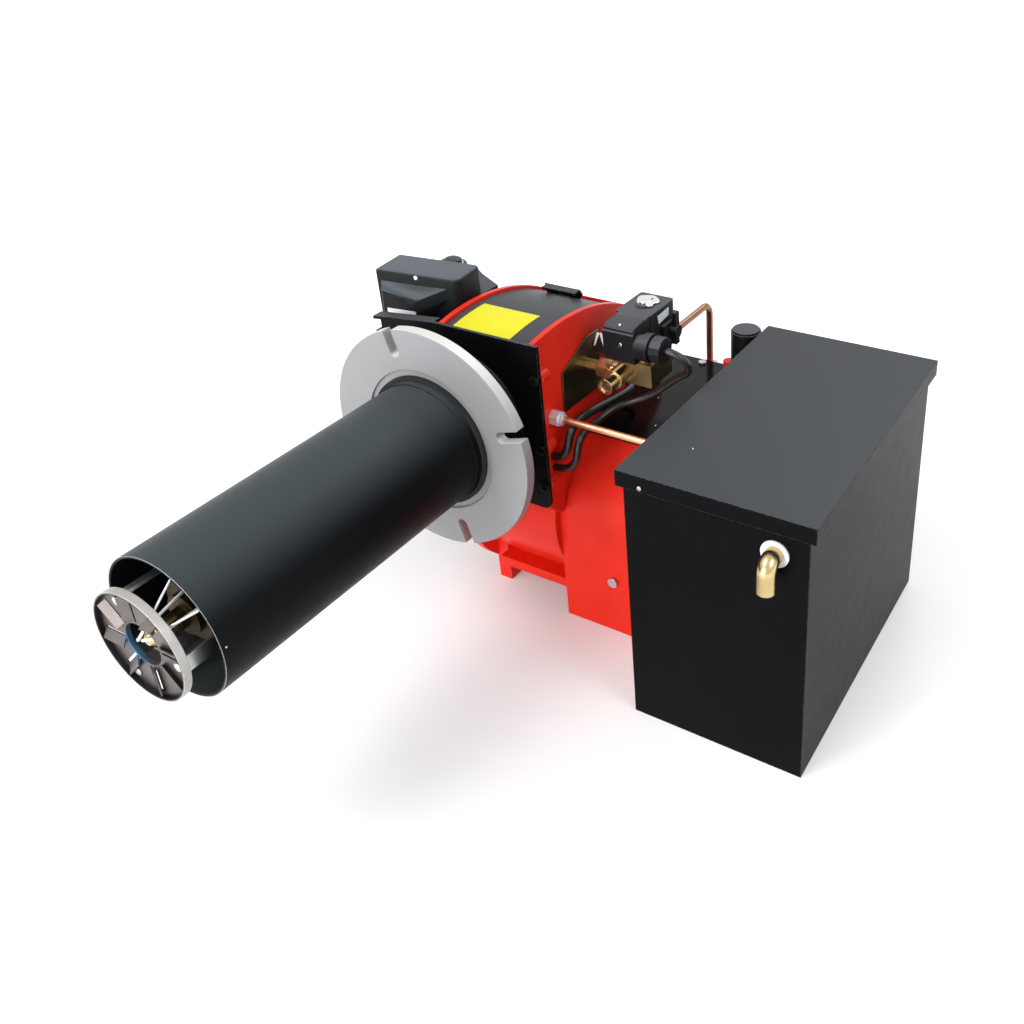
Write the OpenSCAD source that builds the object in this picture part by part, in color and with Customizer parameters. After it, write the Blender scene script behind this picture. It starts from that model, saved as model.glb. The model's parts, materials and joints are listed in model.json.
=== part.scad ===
// Waste oil burner: blast tube, air housing, side casing and float tank.
// Origin on the tube axis at the front face of the mounting flange.
// +X is right seen from the flame end, +Y points back to the burner, +Z is up.

/* [Blast tube] */
// Outside diameter of the blast tube
tube_od = 115; // [105:1:120]
// Wall of the blast tube
tube_wall = 2; // [1.5:0.5:3]
// Length of tube ahead of the flange face
tube_reach = 270; // [230:5:320]
// Thickness of the sleeve that the flange slides on
sleeve_wall = 1; // [0.5:0.5:2]

/* [Mounting flange] */
// Outside diameter of the mounting flange
flange_od = 210; // [195:1:240]
// Thickness of the mounting flange
flange_t = 10; // [8:1:14]
// Width of the open bolt slots
slot_w = 10.5; // [8:0.5:14]
// Distance from the axis to the closed end of a slot
slot_in = 80; // [78:1:88]
// Angle of the first slot from +X
slot_angle = 17; // [10:1:30]
// Length of the clamping hub behind the flange
hub_l = 10; // [8:1:14]

/* [Front plate] */
// Distance from the flange face to the front plate
plate_y = 50; // [46:1:60]
// Thickness of the front plate
plate_t = 3; // [2:0.5:4]
// Half width of the front plate
plate_half = 88; // [84:1:96]
// Height of the plate above the tube axis
plate_up = 88; // [84:1:92]
// Depth of the plate below the tube axis
plate_down = 77; // [72:1:84]

/* [Firing head] */
// Outside diameter of the diffuser disc
disc_od = 88; // [80:1:96]
// How far the disc stands ahead of the tube mouth
disc_proud = 22; // [10:1:30]
// Number of swirl vanes in the disc
vanes = 8; // [6:1:10]
// Diameter of the nozzle pipe
pipe_od = 16; // [12:1:18]
// Diameter of the oil preheater block
heater_od = 48; // [40:1:54]
// Width across flats of the nozzle hexagon
nozzle_af = 16; // [14:1:19]

/* [Air housing] */
// Left outer face of the air channel
wall_left = -21; // [-26:1:-18]
// Right outer face of the air channel
wall_right = 82; // [80:1:86]
// Wall thickness of the housing casting
cast_t = 5; // [4:0.5:6]
// Radius of the arched top edge
arch_r = 228; // [222:1:240]
// Distance of the fan axis behind the flange face
fan_y = 166; // [164:1:170]
// Depth of the fan axis below the tube axis
fan_drop = 115.5; // [113:0.5:118]
// Outer radius of the fan scroll
scroll_r = 96; // [92:1:98]
// Radius of the motor flange on the left of the scroll
motor_flange_r = 108.5; // [106:0.5:108.5]

/* [Fan and motor] */
// Diameter of the fan wheel
fan_od = 160; // [140:2:166]
// Width of the fan wheel
fan_w = 56; // [44:1:60]
// Number of fan blades
blades = 24; // [16:1:32]
// Diameter of the motor shaft
shaft_d = 14; // [12:1:16]
// Diameter of the motor shell
motor_od = 124; // [110:1:140]
// Length of the motor shell
motor_l = 105; // [90:1:130]

/* [Side casing] */
// Left face of the side casing
casing_left = 75; // [75:1:76]
// Width of the side casing
casing_w = 125; // [118:1:132]
// Radius of the rounded front top of the casing
casing_r = 88; // [86:1:90]
// Distance from the fan axis to the back of the casing
casing_back = 123; // [118:1:130]
// Sheet thickness of the side casing
casing_t = 3; // [2:0.5:4]
// Thickness of the black casing lid
lid_t = 1.5; // [1:0.5:2]
// Height of the fan axis above the floor
axis_height = 108.5; // [108.5:0.5:112]

/* [Gear pump] */
// Tooth module of the pump gears
gear_m = 2; // [1.8:0.1:2]
// Teeth on each pump gear
gear_z = 12; // [11:1:13]
// Width of the pump gears
gear_w = 22; // [14:1:26]

/* [Float tank] */
// Gap between the tank body and the right edge of its lid
lid_over = 5.6; // [4:0.2:8]
// Width of the tank body
tank_w = 157.5; // [130:0.5:180]
// Length of the tank body
tank_l = 282.2; // [240:0.2:300]
// Distance of the tank front behind the flange face
tank_front = -0.7; // [-10:0.1:10]
// Height of the tank lid above the tube axis
tank_top = 30; // [24:1:40]
// Depth of the skirt on the tank lid
skirt = 14.6; // [10:0.2:20]
// Sheet thickness of the tank
tank_t = 2; // [1.5:0.5:3]
// Length of the float arm in the tank
float_arm_l = 90; // [70:1:110]
// Angle that the float arm hangs down when the tank is empty
float_drop = 30; // [20:1:35]

/* [Ignition and control] */
// Height of the electrics shelf above the tube axis
shelf_z = 52; // [48:1:56]
// Width of the ignition transformer
trafo_w = 91.5; // [84:0.5:94]
// Depth of the ignition transformer
trafo_d = 40; // [36:1:42]
// Height of the ignition transformer
trafo_h = 57; // [52:1:66]
// Angle that the transformer is turned to the flame end
trafo_turn = 7; // [0:1:8]
// Height of the control box
control_h = 38; // [34:1:42]

/* [Air valve] */
// Distance of the air line behind the flange face at the wall
line_y = 129; // [126:1:132]
// Height of the air line above the tube axis
line_z = 35; // [32:1:38]
// Distance of the air line from the tube axis
line_x = 122; // [120:1:124]
// Side of the square solenoid coil
coil_side = 34; // [30:1:36]
// Height of the solenoid coil
coil_h = 43; // [38:1:46]
// Outside diameter of the copper air pipe
air_od = 7; // [6:0.5:8]
// Outside diameter of the copper oil pipe
oil_od = 6; // [5:0.5:8]

/* [Hidden] */
$fn = 96;
fit = 0.05;
slip = 0.3;

// Blast tube and flange
tube_r = tube_od / 2;
sleeve_r = tube_r + sleeve_wall;
sleeve_l = 8;
lip_t = 3;
lip_r = sleeve_r + 7.5;
flange_r = flange_od / 2;
seal_r = sleeve_r + 3.5;
recess_r = sleeve_r + 9.5;
hub_r = sleeve_r + 12;
lip_screw_r = lip_r - 3.7;

// Firing head
disc_r = disc_od / 2;
disc_y = -tube_reach - disc_proud;
rim_d = 6;
face_y = disc_y + 4;
face_t = 1.4;
disc_hole_r = 17;
pipe_r = pipe_od / 2;
heater_r = heater_od / 2;
heater_y = -tube_reach + 20;
heater_l = 70;
nozzle_l = 16;
nozzle_back = heater_y - 14;
nozzle_tip_l = 5;
nozzle_front = nozzle_back - nozzle_l - nozzle_tip_l;
pipe_back = plate_y + 60;
strut_w = 14;
strut_t = 2;
strut_r = disc_r - 6;
strut_back = heater_y + heater_l + 14;
strut_a = [113, 241, 353];
rivet_r = 2.4;
electrode_a = [75, 35];
electrode_rod_r = 4;
electrode_r = heater_r + electrode_rod_r + 3;

// Air housing and fan
fan_z = -fan_drop;
floor_z = fan_z - axis_height;
chan_y = plate_y + plate_t;
arch_y = 95;
arch_z = plate_up - 0.9 - sqrt(arch_r * arch_r - pow(arch_y - chan_y, 2));
back_y = fan_y + scroll_r;
scroll_right = wall_left + 92;
motor_flange_t = 9;
cover_r = arch_r - 3;
cover_t = 1.5;
cover_end = back_y - 62;
fan_left = wall_left + 13;
shaft_r = shaft_d / 2;
fan_r = fan_od / 2;
eye_r = 48;
boss_z = [56, -13, -52];
left_boss_z = [lip_r + 4, -lip_r - 2];
sensor_y = 104;
sensor_z = 20;
screw_x = wall_right + 2;
left_screw_x = wall_left - 4;

// Motor
motor_r = motor_od / 2;
motor_right = wall_left - motor_flange_t;
motor_left = motor_right - motor_l;
cap_l = 16;
bearing_r = 17;
bearing_w = 11;

// Side casing
casing_right = casing_left + casing_w;
casing_front = fan_y - casing_r;
casing_rear = fan_y + casing_back;
casing_top = fan_z + casing_r;
lid_front_angle = 27;
grille_x = [casing_left + 60, casing_left + 116];
grille_z = [fan_z - 60, fan_z + 22];
damper_y = casing_rear - 11;
damper_z = grille_z[1] + 5;
damper_r = 4;
casing_screw_z = fan_z - 47.5;

// Gear pump
pitch_r = gear_m * gear_z / 2;
tip_r = pitch_r + 0.9 * gear_m;
root_r = pitch_r - 1.15 * gear_m;
gear_gap = 0.25;
pump_shaft_r = 5;
pump_x = casing_left + 47;
pump_back_t = 10;
gear_x = pump_x + pump_back_t + 0.5;
pump_front = gear_x + gear_w + 0.5;
cover_plate_t = 8;
gear2_z = fan_z - 2 * pitch_r;

// Tank
tank_left = casing_right;
tank_right = tank_left + tank_w;
tank_back = tank_front + tank_l;
lid_z = tank_top - tank_t;
elbow_x = tank_right - 27.5;
elbow_z = tank_top - 34.5;
elbow_r = 7.4;
elbow_out = 14;
elbow_drop = 24;
pivot_y = tank_back - tank_t - 14;
pivot_x = tank_left + tank_w / 2;
pivot_z = tank_top - 60;
heating_l = 160;

// Electrics
shelf_t = 2;
shelf_front = chan_y + 15;
trafo_x = wall_left - 54.6;
trafo_y = shelf_front + 39.1;
trafo_half = [trafo_w / 2, trafo_d / 2];
hood_out = 10;
shelf_left = trafo_x - trafo_half[0] + 6;
box_y = trafo_y + 30;
box_l = 28;
shelf_back = box_y + box_l + 10;
box_z = shelf_z + shelf_t;
box_right = wall_left - 21;
box_left = box_right - 73;
box_top = box_z + control_h;
button_x = box_right - 42;
button_y = box_y + box_l / 2;
button_r = 9;

// Air valve
coil_x = line_x + 14;
coil_y = line_y + 19;
valve_low = line_z - 11;
valve_top = line_z + 11;
coil_z = valve_top + 8;
coil_top = coil_z + coil_h;
tube_armature_r = 7;
plunger_r = 4.5;
plug_w = 31;
plug_d = 16;
gland_r = 13;
gland_x = coil_x - coil_side / 2 - 4 + plug_w;
gland_y = coil_y - coil_side / 2 - 5 - plug_d / 2 + 3;
gland_z = coil_z + 17;
plug_front = line_y - 31;
pipe_turn = 13;
air_back = casing_rear + 9;
air_low = floor_z + 60;
clip_z = line_z - 74;
oil_y = 72;
oil_z = 8;

// Routes of the cables, each point chosen by hand
valve_route = [
    [167, 121, 71], [170.5, 121, 71], [174, 121, 71], [180.6, 121.6, 69.7],
    [185.9, 123.3, 66], [189, 125.8, 60.6], [189.3, 128.6, 54.5], [186.7, 131.3, 48.9],
    [181.8, 133.1, 44.6], [173.5, 134.6, 38.4], [165.5, 135.4, 31.4], [157.8, 135.6, 24.4],
    [150, 135, 17.8], [142, 133.6, 12.6], [134, 131.4, 8.8], [126.8, 128.2, 5.8],
    [120.4, 123.6, 3.2], [115.4, 117.6, 0.8], [112, 110.6, -1.6], [109.8, 104, -3.6],
    [108.6, 97, -5], [108, 90.5, -5.2], [108, 84.5, -5.6], [108, 78.8, -7.2],
    [108, 73.9, -10.4], [108, 70.5, -15.2], [107.6, 69, -21], [106, 68.4, -28.3],
    [101.6, 68, -35.4], [94.6, 68, -40.3], [86.5, 68, -42], [82.4, 68, -42]
];
loom_route = [
    [82.4, 184, -8], [85.2, 184, -8], [91.2, 182.8, -8], [96.4, 179.3, -8],
    [99.8, 174, -8], [101, 168, -8], [101, 159, -7.3], [101, 150, -6],
    [101, 140, -4.4], [101, 130, -2.6], [101, 120, -0.9], [100.8, 110, 0.6],
    [100.6, 100, 1.7], [100.5, 91.5, 2.1], [100.5, 83.2, 1.9], [100.5, 77, 0.7],
    [100.5, 71.9, -2.8], [100.4, 68.5, -8], [99.6, 67.2, -14.2], [97.4, 67, -20.5],
    [93.4, 67, -25.9], [88.2, 67, -29.1], [84.4, 67, -30], [82.4, 67, -30]
];
lead_route = [
    [-38, 90.9, 66], [-38, 87.8, 66.3], [-38, 84, 67], [-38, 79.6, 68.6],
    [-36.8, 75.3, 70.8], [-34.2, 71.7, 73.1], [-30.4, 69.2, 75.2],
    [-25.8, 68, 76.9], [-21.3, 67.8, 78]
];

// Turns a (Y, Z) outline into a solid from x0 to x1
module along_x(x0, x1) {
    translate([x0, 0, 0]) rotate([90, 0, 90]) linear_extrude(x1 - x0) children();
}

// Turns an outline in front view into a solid from y0 back to y1
module along_y(y0, y1) {
    translate([0, y1, 0]) rotate([90, 0, 0]) linear_extrude(y1 - y0) children();
}

module rod_x(x0, x1, y, z, r) {
    translate([x0, y, z]) rotate([0, 90, 0]) cylinder(r = r, h = x1 - x0);
}

module rod_y(y0, y1, x, z, r) {
    translate([x, y0, z]) rotate([-90, 0, 0]) cylinder(r = r, h = y1 - y0);
}

module rod_z(z0, z1, x, y, r) {
    translate([x, y, z0]) cylinder(r = r, h = z1 - z0);
}

module block(low, high) {
    translate(low) cube(high - low);
}

// Hexagon across flats af along X, Y or Z
module hex_x(x0, x1, y, z, af) {
    translate([x0, y, z]) rotate([0, 90, 0]) cylinder(d = af / cos(30), h = x1 - x0, $fn = 6);
}

module hex_y(y0, y1, x, z, af) {
    translate([x, y0, z]) rotate([-90, 0, 0]) cylinder(d = af / cos(30), h = y1 - y0, $fn = 6);
}

module hex_z(z0, z1, x, y, af) {
    translate([x, y, z0]) cylinder(d = af / cos(30), h = z1 - z0, $fn = 6);
}

// Rounded rectangle with its low corner at the origin
module round_rect(w, h, r) {
    translate([r, 0]) square([w - 2 * r, h]);
    translate([0, r]) square([w, h - 2 * r]);
    for (x = [r, w - r], y = [r, h - r]) translate([x, y]) circle(r);
}

// Pan head screw along -Y with its head face at y
module screw_y(x, y, z, r, shank) {
    rod_y(y - r * 0.7, y, x, z, r);
    rod_y(y, y + shank, x, z, r * 0.5);
}

module ring_y(y0, y1, outer, inner) {
    difference() {
        rod_y(y0, y1, 0, 0, outer);
        rod_y(y0 - 1, y1 + 1, 0, 0, inner);
    }
}

module ring_x(x0, x1, y, z, outer, inner) {
    difference() {
        rod_x(x0, x1, y, z, outer);
        rod_x(x0 - 1, x1 + 1, y, z, inner);
    }
}

// Round tube swept along a smooth curve through chosen points
function unit(v) = v / norm(v);
function spline(p, i, t) =
    let (
        n = len(p) - 1,
        a = p[max(i - 1, 0)],
        b = p[i],
        c = p[min(i + 1, n)],
        d = p[min(i + 2, n)]
    )
    0.5 * (2 * b + (c - a) * t + (2 * a - 5 * b + 4 * c - d) * t * t
        + (3 * b - a - 3 * c + d) * t * t * t);
function smooth(p, steps) = concat(
    [for (i = [0 : len(p) - 2], s = [0 : steps - 1]) spline(p, i, s / steps)],
    [p[len(p) - 1]]
);
module cord(route, r, steps, sides) {
    pts = smooth(route, steps);
    n = len(pts);
    side = [0.3, 0.2, 0.93];
    rings = [
        for (i = [0 : n - 1])
            let (
                t = unit(pts[min(i + 1, n - 1)] - pts[max(i - 1, 0)]),
                u = unit(cross(t, side)),
                v = cross(t, u)
            )
            for (k = [0 : sides - 1])
                pts[i] + r * (cos(360 * k / sides) * u + sin(360 * k / sides) * v)
    ];
    faces = concat(
        [[for (k = [0 : sides - 1]) k]],
        [
            for (i = [0 : n - 2], k = [0 : sides - 1])
                [
                    i * sides + k, (i + 1) * sides + k,
                    (i + 1) * sides + (k + 1) % sides
                ]
        ],
        [
            for (i = [0 : n - 2], k = [0 : sides - 1])
                [
                    i * sides + k, (i + 1) * sides + (k + 1) % sides,
                    i * sides + (k + 1) % sides
                ]
        ],
        [[for (k = [sides - 1 : -1 : 0]) (n - 1) * sides + k]]
    );
    polyhedron(rings, faces);
}

// Outline of the air channel seen from the side, drawn in by inset
module channel2d(inset) {
    intersection() {
        translate([arch_y, arch_z]) circle(arch_r - inset);
        polygon([
            [chan_y - inset, -plate_down + inset], [chan_y - inset, plate_up + 20],
            [back_y - inset, plate_up + 20], [back_y - inset, fan_z],
            [fan_y, fan_z], [chan_y + 19, fan_z + 20]
        ]);
    }
}

// Outline of the side casing, grown by g
module casing2d(g) {
    translate([fan_y, fan_z]) circle(casing_r + g);
    translate([casing_front - g, floor_z - g]) square([casing_rear - casing_front + 2 * g, axis_height + g]);
    translate([fan_y, floor_z - g]) square([casing_back + g, axis_height + casing_r + 2 * g]);
}

module blast_tube() {
    color([0.06, 0.06, 0.07]) {
        ring_y(-tube_reach, plate_y - lip_t, tube_r, tube_r - tube_wall);
        ring_y(-sleeve_l, plate_y - lip_t, sleeve_r, tube_r - tube_wall);
        difference() {
            ring_y(plate_y - lip_t, plate_y, lip_r, tube_r - tube_wall);
            for (a = [45 : 90 : 315]) {
                rod_y(plate_y - 10, plate_y + 1, lip_screw_r * cos(a), lip_screw_r * sin(a), 2 + fit);
            }
        }
    }
}

module mounting_flange() {
    color([0.72, 0.72, 0.74]) difference() {
        union() {
            rod_y(0, flange_t, 0, 0, flange_r);
            rod_y(flange_t, flange_t + hub_l, 0, 0, hub_r);
        }
        rod_y(-1, 2, 0, 0, recess_r);
        rod_y(1, 7, 0, 0, seal_r + fit);
        rod_y(-1, flange_t + hub_l + 1, 0, 0, sleeve_r + fit);
        for (i = [0 : 3]) rotate([0, -slot_angle - 90 * i, 0]) {
            rod_y(-1, flange_t + 1, slot_in + slot_w / 2, 0, slot_w / 2);
            block([slot_in + slot_w / 2, -1, -slot_w / 2], [flange_r + 5, flange_t + 1, slot_w / 2]);
        }
        for (a = [62, 182, 302]) rotate([0, -a, 0])
            rod_x(sleeve_r - 2, hub_r + 2, flange_t + hub_l / 2, 0, 2.5);
    }
}

module flange_seal() {
    color([0.05, 0.05, 0.05]) ring_y(-2, 7, seal_r, sleeve_r + slip);
}

module flange_screws() {
    color([0.45, 0.45, 0.47]) for (a = [62, 182, 302]) rotate([0, -a, 0]) {
        rod_x(sleeve_r + slip, hub_r, flange_t + hub_l / 2, 0, 2.5 - fit);
        hex_x(hub_r, hub_r + 4, flange_t + hub_l / 2, 0, 8);
    }
}

// Places that hold the plate to the casting, right edge and left edge
function plate_points() = concat(
    [for (z = boss_z) [screw_x, z]],
    [for (z = left_boss_z) [left_screw_x, z]]
);

module front_plate() {
    bush_r = pipe_r + 5;
    bridge = 2 * bush_r + 4;
    corner = 8;
    lip_z = plate_up - 9;
    color([0.04, 0.04, 0.045]) {
        difference() {
            along_y(plate_y, plate_y + plate_t) difference() {
                union() {
                    translate([-plate_half, -plate_down])
                        round_rect(2 * plate_half, plate_down + plate_up - 2 * corner, corner);
                    polygon([
                        [-plate_half, 0], [-plate_half, lip_z + 2], [wall_left - 4, plate_up],
                        [plate_half, plate_up], [plate_half, 0]
                    ]);
                }
                difference() {
                    intersection() {
                        circle(tube_r - tube_wall - 2);
                        translate([wall_left + cast_t + 1, -tube_r]) square([tube_od, tube_od]);
                    }
                    translate([-tube_r, -bridge / 2]) square([tube_od, bridge]);
                }
                circle(pipe_r + fit);
                for (p = plate_points()) translate(p) circle(2.5 + fit);
                for (a = [45 : 90 : 315]) rotate(a) translate([lip_screw_r, 0]) circle(2 + fit);
            }
        }
        ring_y(plate_y + plate_t, plate_y + plate_t + 14, bush_r, pipe_r + fit);
        along_y(plate_y, plate_y + plate_t + 8) polygon([
            [-plate_half - 9, lip_z - 2], [-plate_half - 9, lip_z + 1],
            [wall_left - 4, plate_up], [wall_left - 4, plate_up - plate_t]
        ]);
    }
}

module plate_screws() {
    color([0.1, 0.1, 0.11]) {
        for (p = plate_points()) screw_y(p[0], plate_y, p[1], 4.5, plate_t + 8);
        for (a = [45 : 90 : 315]) rotate([0, -a, 0]) {
            rod_y(plate_y - lip_t - 2.5, plate_y - lip_t, lip_screw_r, 0, 3.4);
            rod_y(plate_y - lip_t, plate_y + plate_t + 0.5, lip_screw_r, 0, 2);
        }
    }
}

module nozzle_pipe() {
    color([0.55, 0.55, 0.57]) {
        rod_y(heater_y + heater_l, pipe_back, 0, 0, pipe_r);
        block([-12, pipe_back, -12], [12, pipe_back + 20, 12]);
        rod_x(12, 20, pipe_back + 10, 0, 5);
    }
}

module preheater_block() {
    color([0.42, 0.36, 0.22]) {
        rod_y(heater_y, heater_y + heater_l, 0, 0, heater_r);
        rod_y(heater_y - 6, heater_y, 0, 0, heater_r - 8);
        rod_y(nozzle_back, heater_y - 6, 0, 0, nozzle_af / 2);
    }
}

module nozzle() {
    color([0.75, 0.6, 0.3]) difference() {
        union() {
            hex_y(nozzle_back - nozzle_l, nozzle_back, 0, 0, nozzle_af);
            translate([0, nozzle_back - nozzle_l, 0]) rotate([90, 0, 0])
                cylinder(r1 = nozzle_af / 2 - 1, r2 = 3.5, h = nozzle_tip_l);
        }
        rod_y(nozzle_front - 1, nozzle_back - nozzle_l + 2, 0, 0, 1);
    }
}

// Ceramic rod at one angle round the pipe, with its wire bent in to the nozzle
module electrode(a) {
    front = heater_y + 14;
    back = strut_back + 24;
    root = [electrode_r * cos(a), front + 3, electrode_r * sin(a)];
    knee = [13 * cos(a), nozzle_front - 1, 13 * sin(a)];
    tip = [4.5 * cos(a + 40), nozzle_front - 4, 4.5 * sin(a + 40)];
    color([0.93, 0.92, 0.88]) rod_y(front, back, root[0], root[2], electrode_rod_r);
    color([0.7, 0.7, 0.72]) {
        rod_y(back, back + 10, root[0], root[2], 1.5);
        wire(root, knee, 1.1);
        wire(knee, tip, 1.1);
    }
}

// Straight round wire between two points, with rounded ends
module wire(a, b, r) {
    d = b - a;
    translate(a) rotate([0, acos(d[2] / norm(d)), atan2(d[1], d[0])])
        cylinder(r = r, h = norm(d));
    translate(b) sphere(r + 0.3, $fn = 24);
}

module electrodes() {
    for (a = electrode_a) electrode(a);
}

module electrode_clamp() {
    y0 = strut_back + 4;
    y1 = y0 + 8;
    reach = electrode_r + electrode_rod_r + 3;
    middle = (electrode_a[0] + electrode_a[1]) / 2;
    half_w = electrode_r * sin((electrode_a[0] - electrode_a[1]) / 2) + electrode_rod_r + 3;
    color([0.6, 0.6, 0.62]) difference() {
        union() {
            rod_y(y0, y1, 0, 0, pipe_r + 6);
            rotate([0, -middle, 0]) block([pipe_r - 2, y0, -half_w], [reach, y1, half_w]);
        }
        rod_y(y0 - 1, y1 + 1, 0, 0, pipe_r + fit);
        for (a = electrode_a)
            rod_y(y0 - 1, y1 + 1, electrode_r * cos(a), electrode_r * sin(a), electrode_rod_r + fit);
    }
}

// Bent swirl vane beside one slot, standing off the disc face
module vane(a) {
    rotate([0, -a, 0]) translate([disc_hole_r + 2, face_y + face_t - 1.1, 1.2])
        rotate([32, 0, 0]) cube([disc_r - disc_hole_r - 6, 1.2, 8]);
}

module diffuser_disc() {
    color([0.45, 0.42, 0.4]) {
        ring_y(disc_y, disc_y + rim_d, disc_r, disc_r - 1.6);
        along_y(face_y, face_y + face_t) difference() {
            circle(disc_r - 1);
            circle(disc_hole_r);
            for (i = [0 : vanes - 1]) rotate(360 / vanes * i)
                translate([disc_hole_r + 2, -1]) square([disc_r - disc_hole_r - 6, 7]);
            for (a = strut_a) rotate(a) translate([strut_r - 3, 0]) circle(rivet_r + fit);
        }
        ring_y(face_y, face_y + 3.5, disc_hole_r + 1.5, disc_hole_r);
        intersection() {
            rod_y(disc_y - 2, disc_y + 20, 0, 0, disc_r - 1);
            for (i = [0 : vanes - 1]) vane(360 / vanes * i);
        }
    }
}

module disc_struts() {
    y0 = face_y + face_t;
    color([0.62, 0.62, 0.62]) {
        for (a = strut_a) rotate([0, -a, 0]) {
            block([strut_r - strut_t, y0, -strut_w / 2], [strut_r, strut_back, strut_w / 2]);
            block([strut_r - 9, y0, -strut_w / 2], [strut_r, y0 + strut_t, strut_w / 2]);
            block([pipe_r + 4, strut_back - 8, -strut_w / 2], [strut_r, strut_back, strut_w / 2]);
            rod_y(face_y, y0, strut_r - 3, 0, rivet_r);
            rod_y(face_y - 1.4, face_y, strut_r - 3, 0, rivet_r + 1);
        }
        ring_y(strut_back - 8, strut_back, pipe_r + 6, pipe_r + fit);
        for (p = [[68, 59], [36, 39]]) wire(
            [(disc_r - 5) * cos(p[1]), y0 + 1, (disc_r - 5) * sin(p[1])],
            [(tube_r - tube_wall - 2) * cos(p[0]), -tube_reach + 4, (tube_r - tube_wall - 2) * sin(p[0])],
            0.9
        );
        for (a = [59, 39]) rotate([0, -a, 0])
            block([disc_r - 8, y0, -2], [disc_r - 3, y0 + 2, 2]);
    }
}

// Cast walls of the air channel with the scroll, before the cavity is cut
module housing_outer() {
    along_x(wall_left, wall_right) difference() {
        channel2d(0);
        casing2d(lid_t + 1);
    }
    along_x(wall_left, scroll_right - 5) union() {
        channel2d(0);
        translate([fan_y, fan_z]) circle(scroll_r);
    }
    rod_x(wall_left, casing_left, fan_y, fan_z, scroll_r);
    rod_x(wall_left - motor_flange_t, wall_left, fan_y, fan_z, motor_flange_r);
    foot_top = fan_z - 57;
    for (y = [fan_y - 72, fan_y + 40])
        block([wall_left - 1, y, floor_z], [wall_left + 14, y + 32, foot_top]);
    block([wall_left + 14, fan_y - 85, floor_z + 30], [casing_left, fan_y - 30, floor_z + 40]);
    for (z = boss_z) rod_y(chan_y, chan_y + 11, screw_x, z, 6);
    for (z = left_boss_z) rod_y(chan_y, chan_y + 11, left_screw_x, z, 6);
    block([wall_left - 6, chan_y + 7, left_boss_z[1]], [wall_left, shelf_front, left_boss_z[0]]);
}

module air_housing() {
    inner_r = scroll_r - 4;
    color([0.8, 0.08, 0.05]) difference() {
        housing_outer();
        difference() {
            along_x(wall_left + cast_t, wall_right - cast_t) difference() {
                channel2d(4);
                casing2d(lid_t + 1 + 4);
            }
            rod_x(wall_left, wall_right, fan_y, fan_z, scroll_r - 0.5);
        }
        along_x(wall_left + cast_t, scroll_right - 5 - cast_t) union() {
            channel2d(4);
            translate([fan_y, fan_z]) circle(inner_r);
        }
        rod_x(wall_right - 40, casing_left + 1, fan_y, fan_z, eye_r);
        rod_x(scroll_right - 5, casing_left + 1, fan_y, fan_z, casing_r - 2);
        rod_x(motor_right - 1, wall_left + cast_t + 1, fan_y, fan_z, bearing_r + 3);
        along_x(wall_left + cast_t, wall_right - cast_t) intersection() {
            translate([chan_y - 1, 60]) square([cover_end - chan_y + 1, 60]);
            translate([arch_y, arch_z]) difference() {
                circle(arch_r + 5);
                circle(arch_r - 30);
            }
        }
        for (z = boss_z) rod_y(chan_y - 1, chan_y + 12, screw_x, z, 2.25 + fit);
        for (z = left_boss_z) rod_y(chan_y - 1, chan_y + 12, left_screw_x, z, 2.25 + fit);
        rod_x(wall_right - 10, wall_right + 1, line_y, line_z, 5.5 + fit);
        rod_x(wall_right - 10, wall_right + 1, oil_y, oil_z, 4 + fit);
        rod_x(wall_left - 1, wall_left + 10, sensor_y, sensor_z, 9 + fit);
    }
    color([0.8, 0.08, 0.05]) cover_ledges();
}

// Two narrow ledges that the curved cover lies on
module cover_ledges() {
    for (x = [wall_left + cast_t - 0.5, wall_right - cast_t - 3])
        along_x(x, x + 3.5) intersection() {
            translate([arch_y, arch_z]) difference() {
                circle(cover_r - cover_t - fit);
                circle(cover_r - cover_t - 4);
            }
            translate([chan_y + 1, 40]) square([cover_end - chan_y + 2, 70]);
        }
}

module top_cover() {
    color([0.05, 0.05, 0.055])
        along_x(wall_left + cast_t + 0.2, wall_right - cast_t - 0.2) intersection() {
            translate([arch_y, arch_z]) difference() {
                circle(cover_r);
                circle(cover_r - cover_t);
            }
            translate([chan_y + 0.2, 40]) square([cover_end - chan_y - 0.5, 70]);
        }
}

module cover_bracket() {
    y0 = cover_end - 20;
    top = arch_z + sqrt(cover_r * cover_r - pow(y0 - arch_y, 2));
    color([0.07, 0.07, 0.08]) {
        difference() {
            along_y(y0, y0 + 2) polygon([
                [6, top + 0.1], [4, top + 9], [44, top + 9], [47, top + 5], [44, top + 0.1]
            ]);
            block([12, y0 - 1, top + 3], [34, y0 + 3, top + 6]);
        }
        block([6, y0 - 8, top + 6.5], [44, y0 + 0.5, top + 9]);
    }
}

module fitting_plate() {
    color([0.36, 0.28, 0.16]) difference() {
        along_x(wall_right, wall_right + 2) polygon([
            [line_y - 41, line_z - 31], [line_y - 40, line_z + 9], [line_y + 1, line_z + 27],
            [line_y + 20, line_z + 27], [line_y + 20, line_z - 31]
        ]);
        rod_x(wall_right - 1, wall_right + 3, line_y, line_z, 5.5 + fit);
    }
}

module flame_sensor() {
    color([0.12, 0.12, 0.13]) {
        rod_x(wall_left - 22, wall_left + 4, sensor_y, sensor_z, 9);
        rod_x(wall_left - 2, wall_left, sensor_y, sensor_z, 12);
        rod_x(wall_left - 30, wall_left - 22, sensor_y, sensor_z, 4);
    }
}

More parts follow.
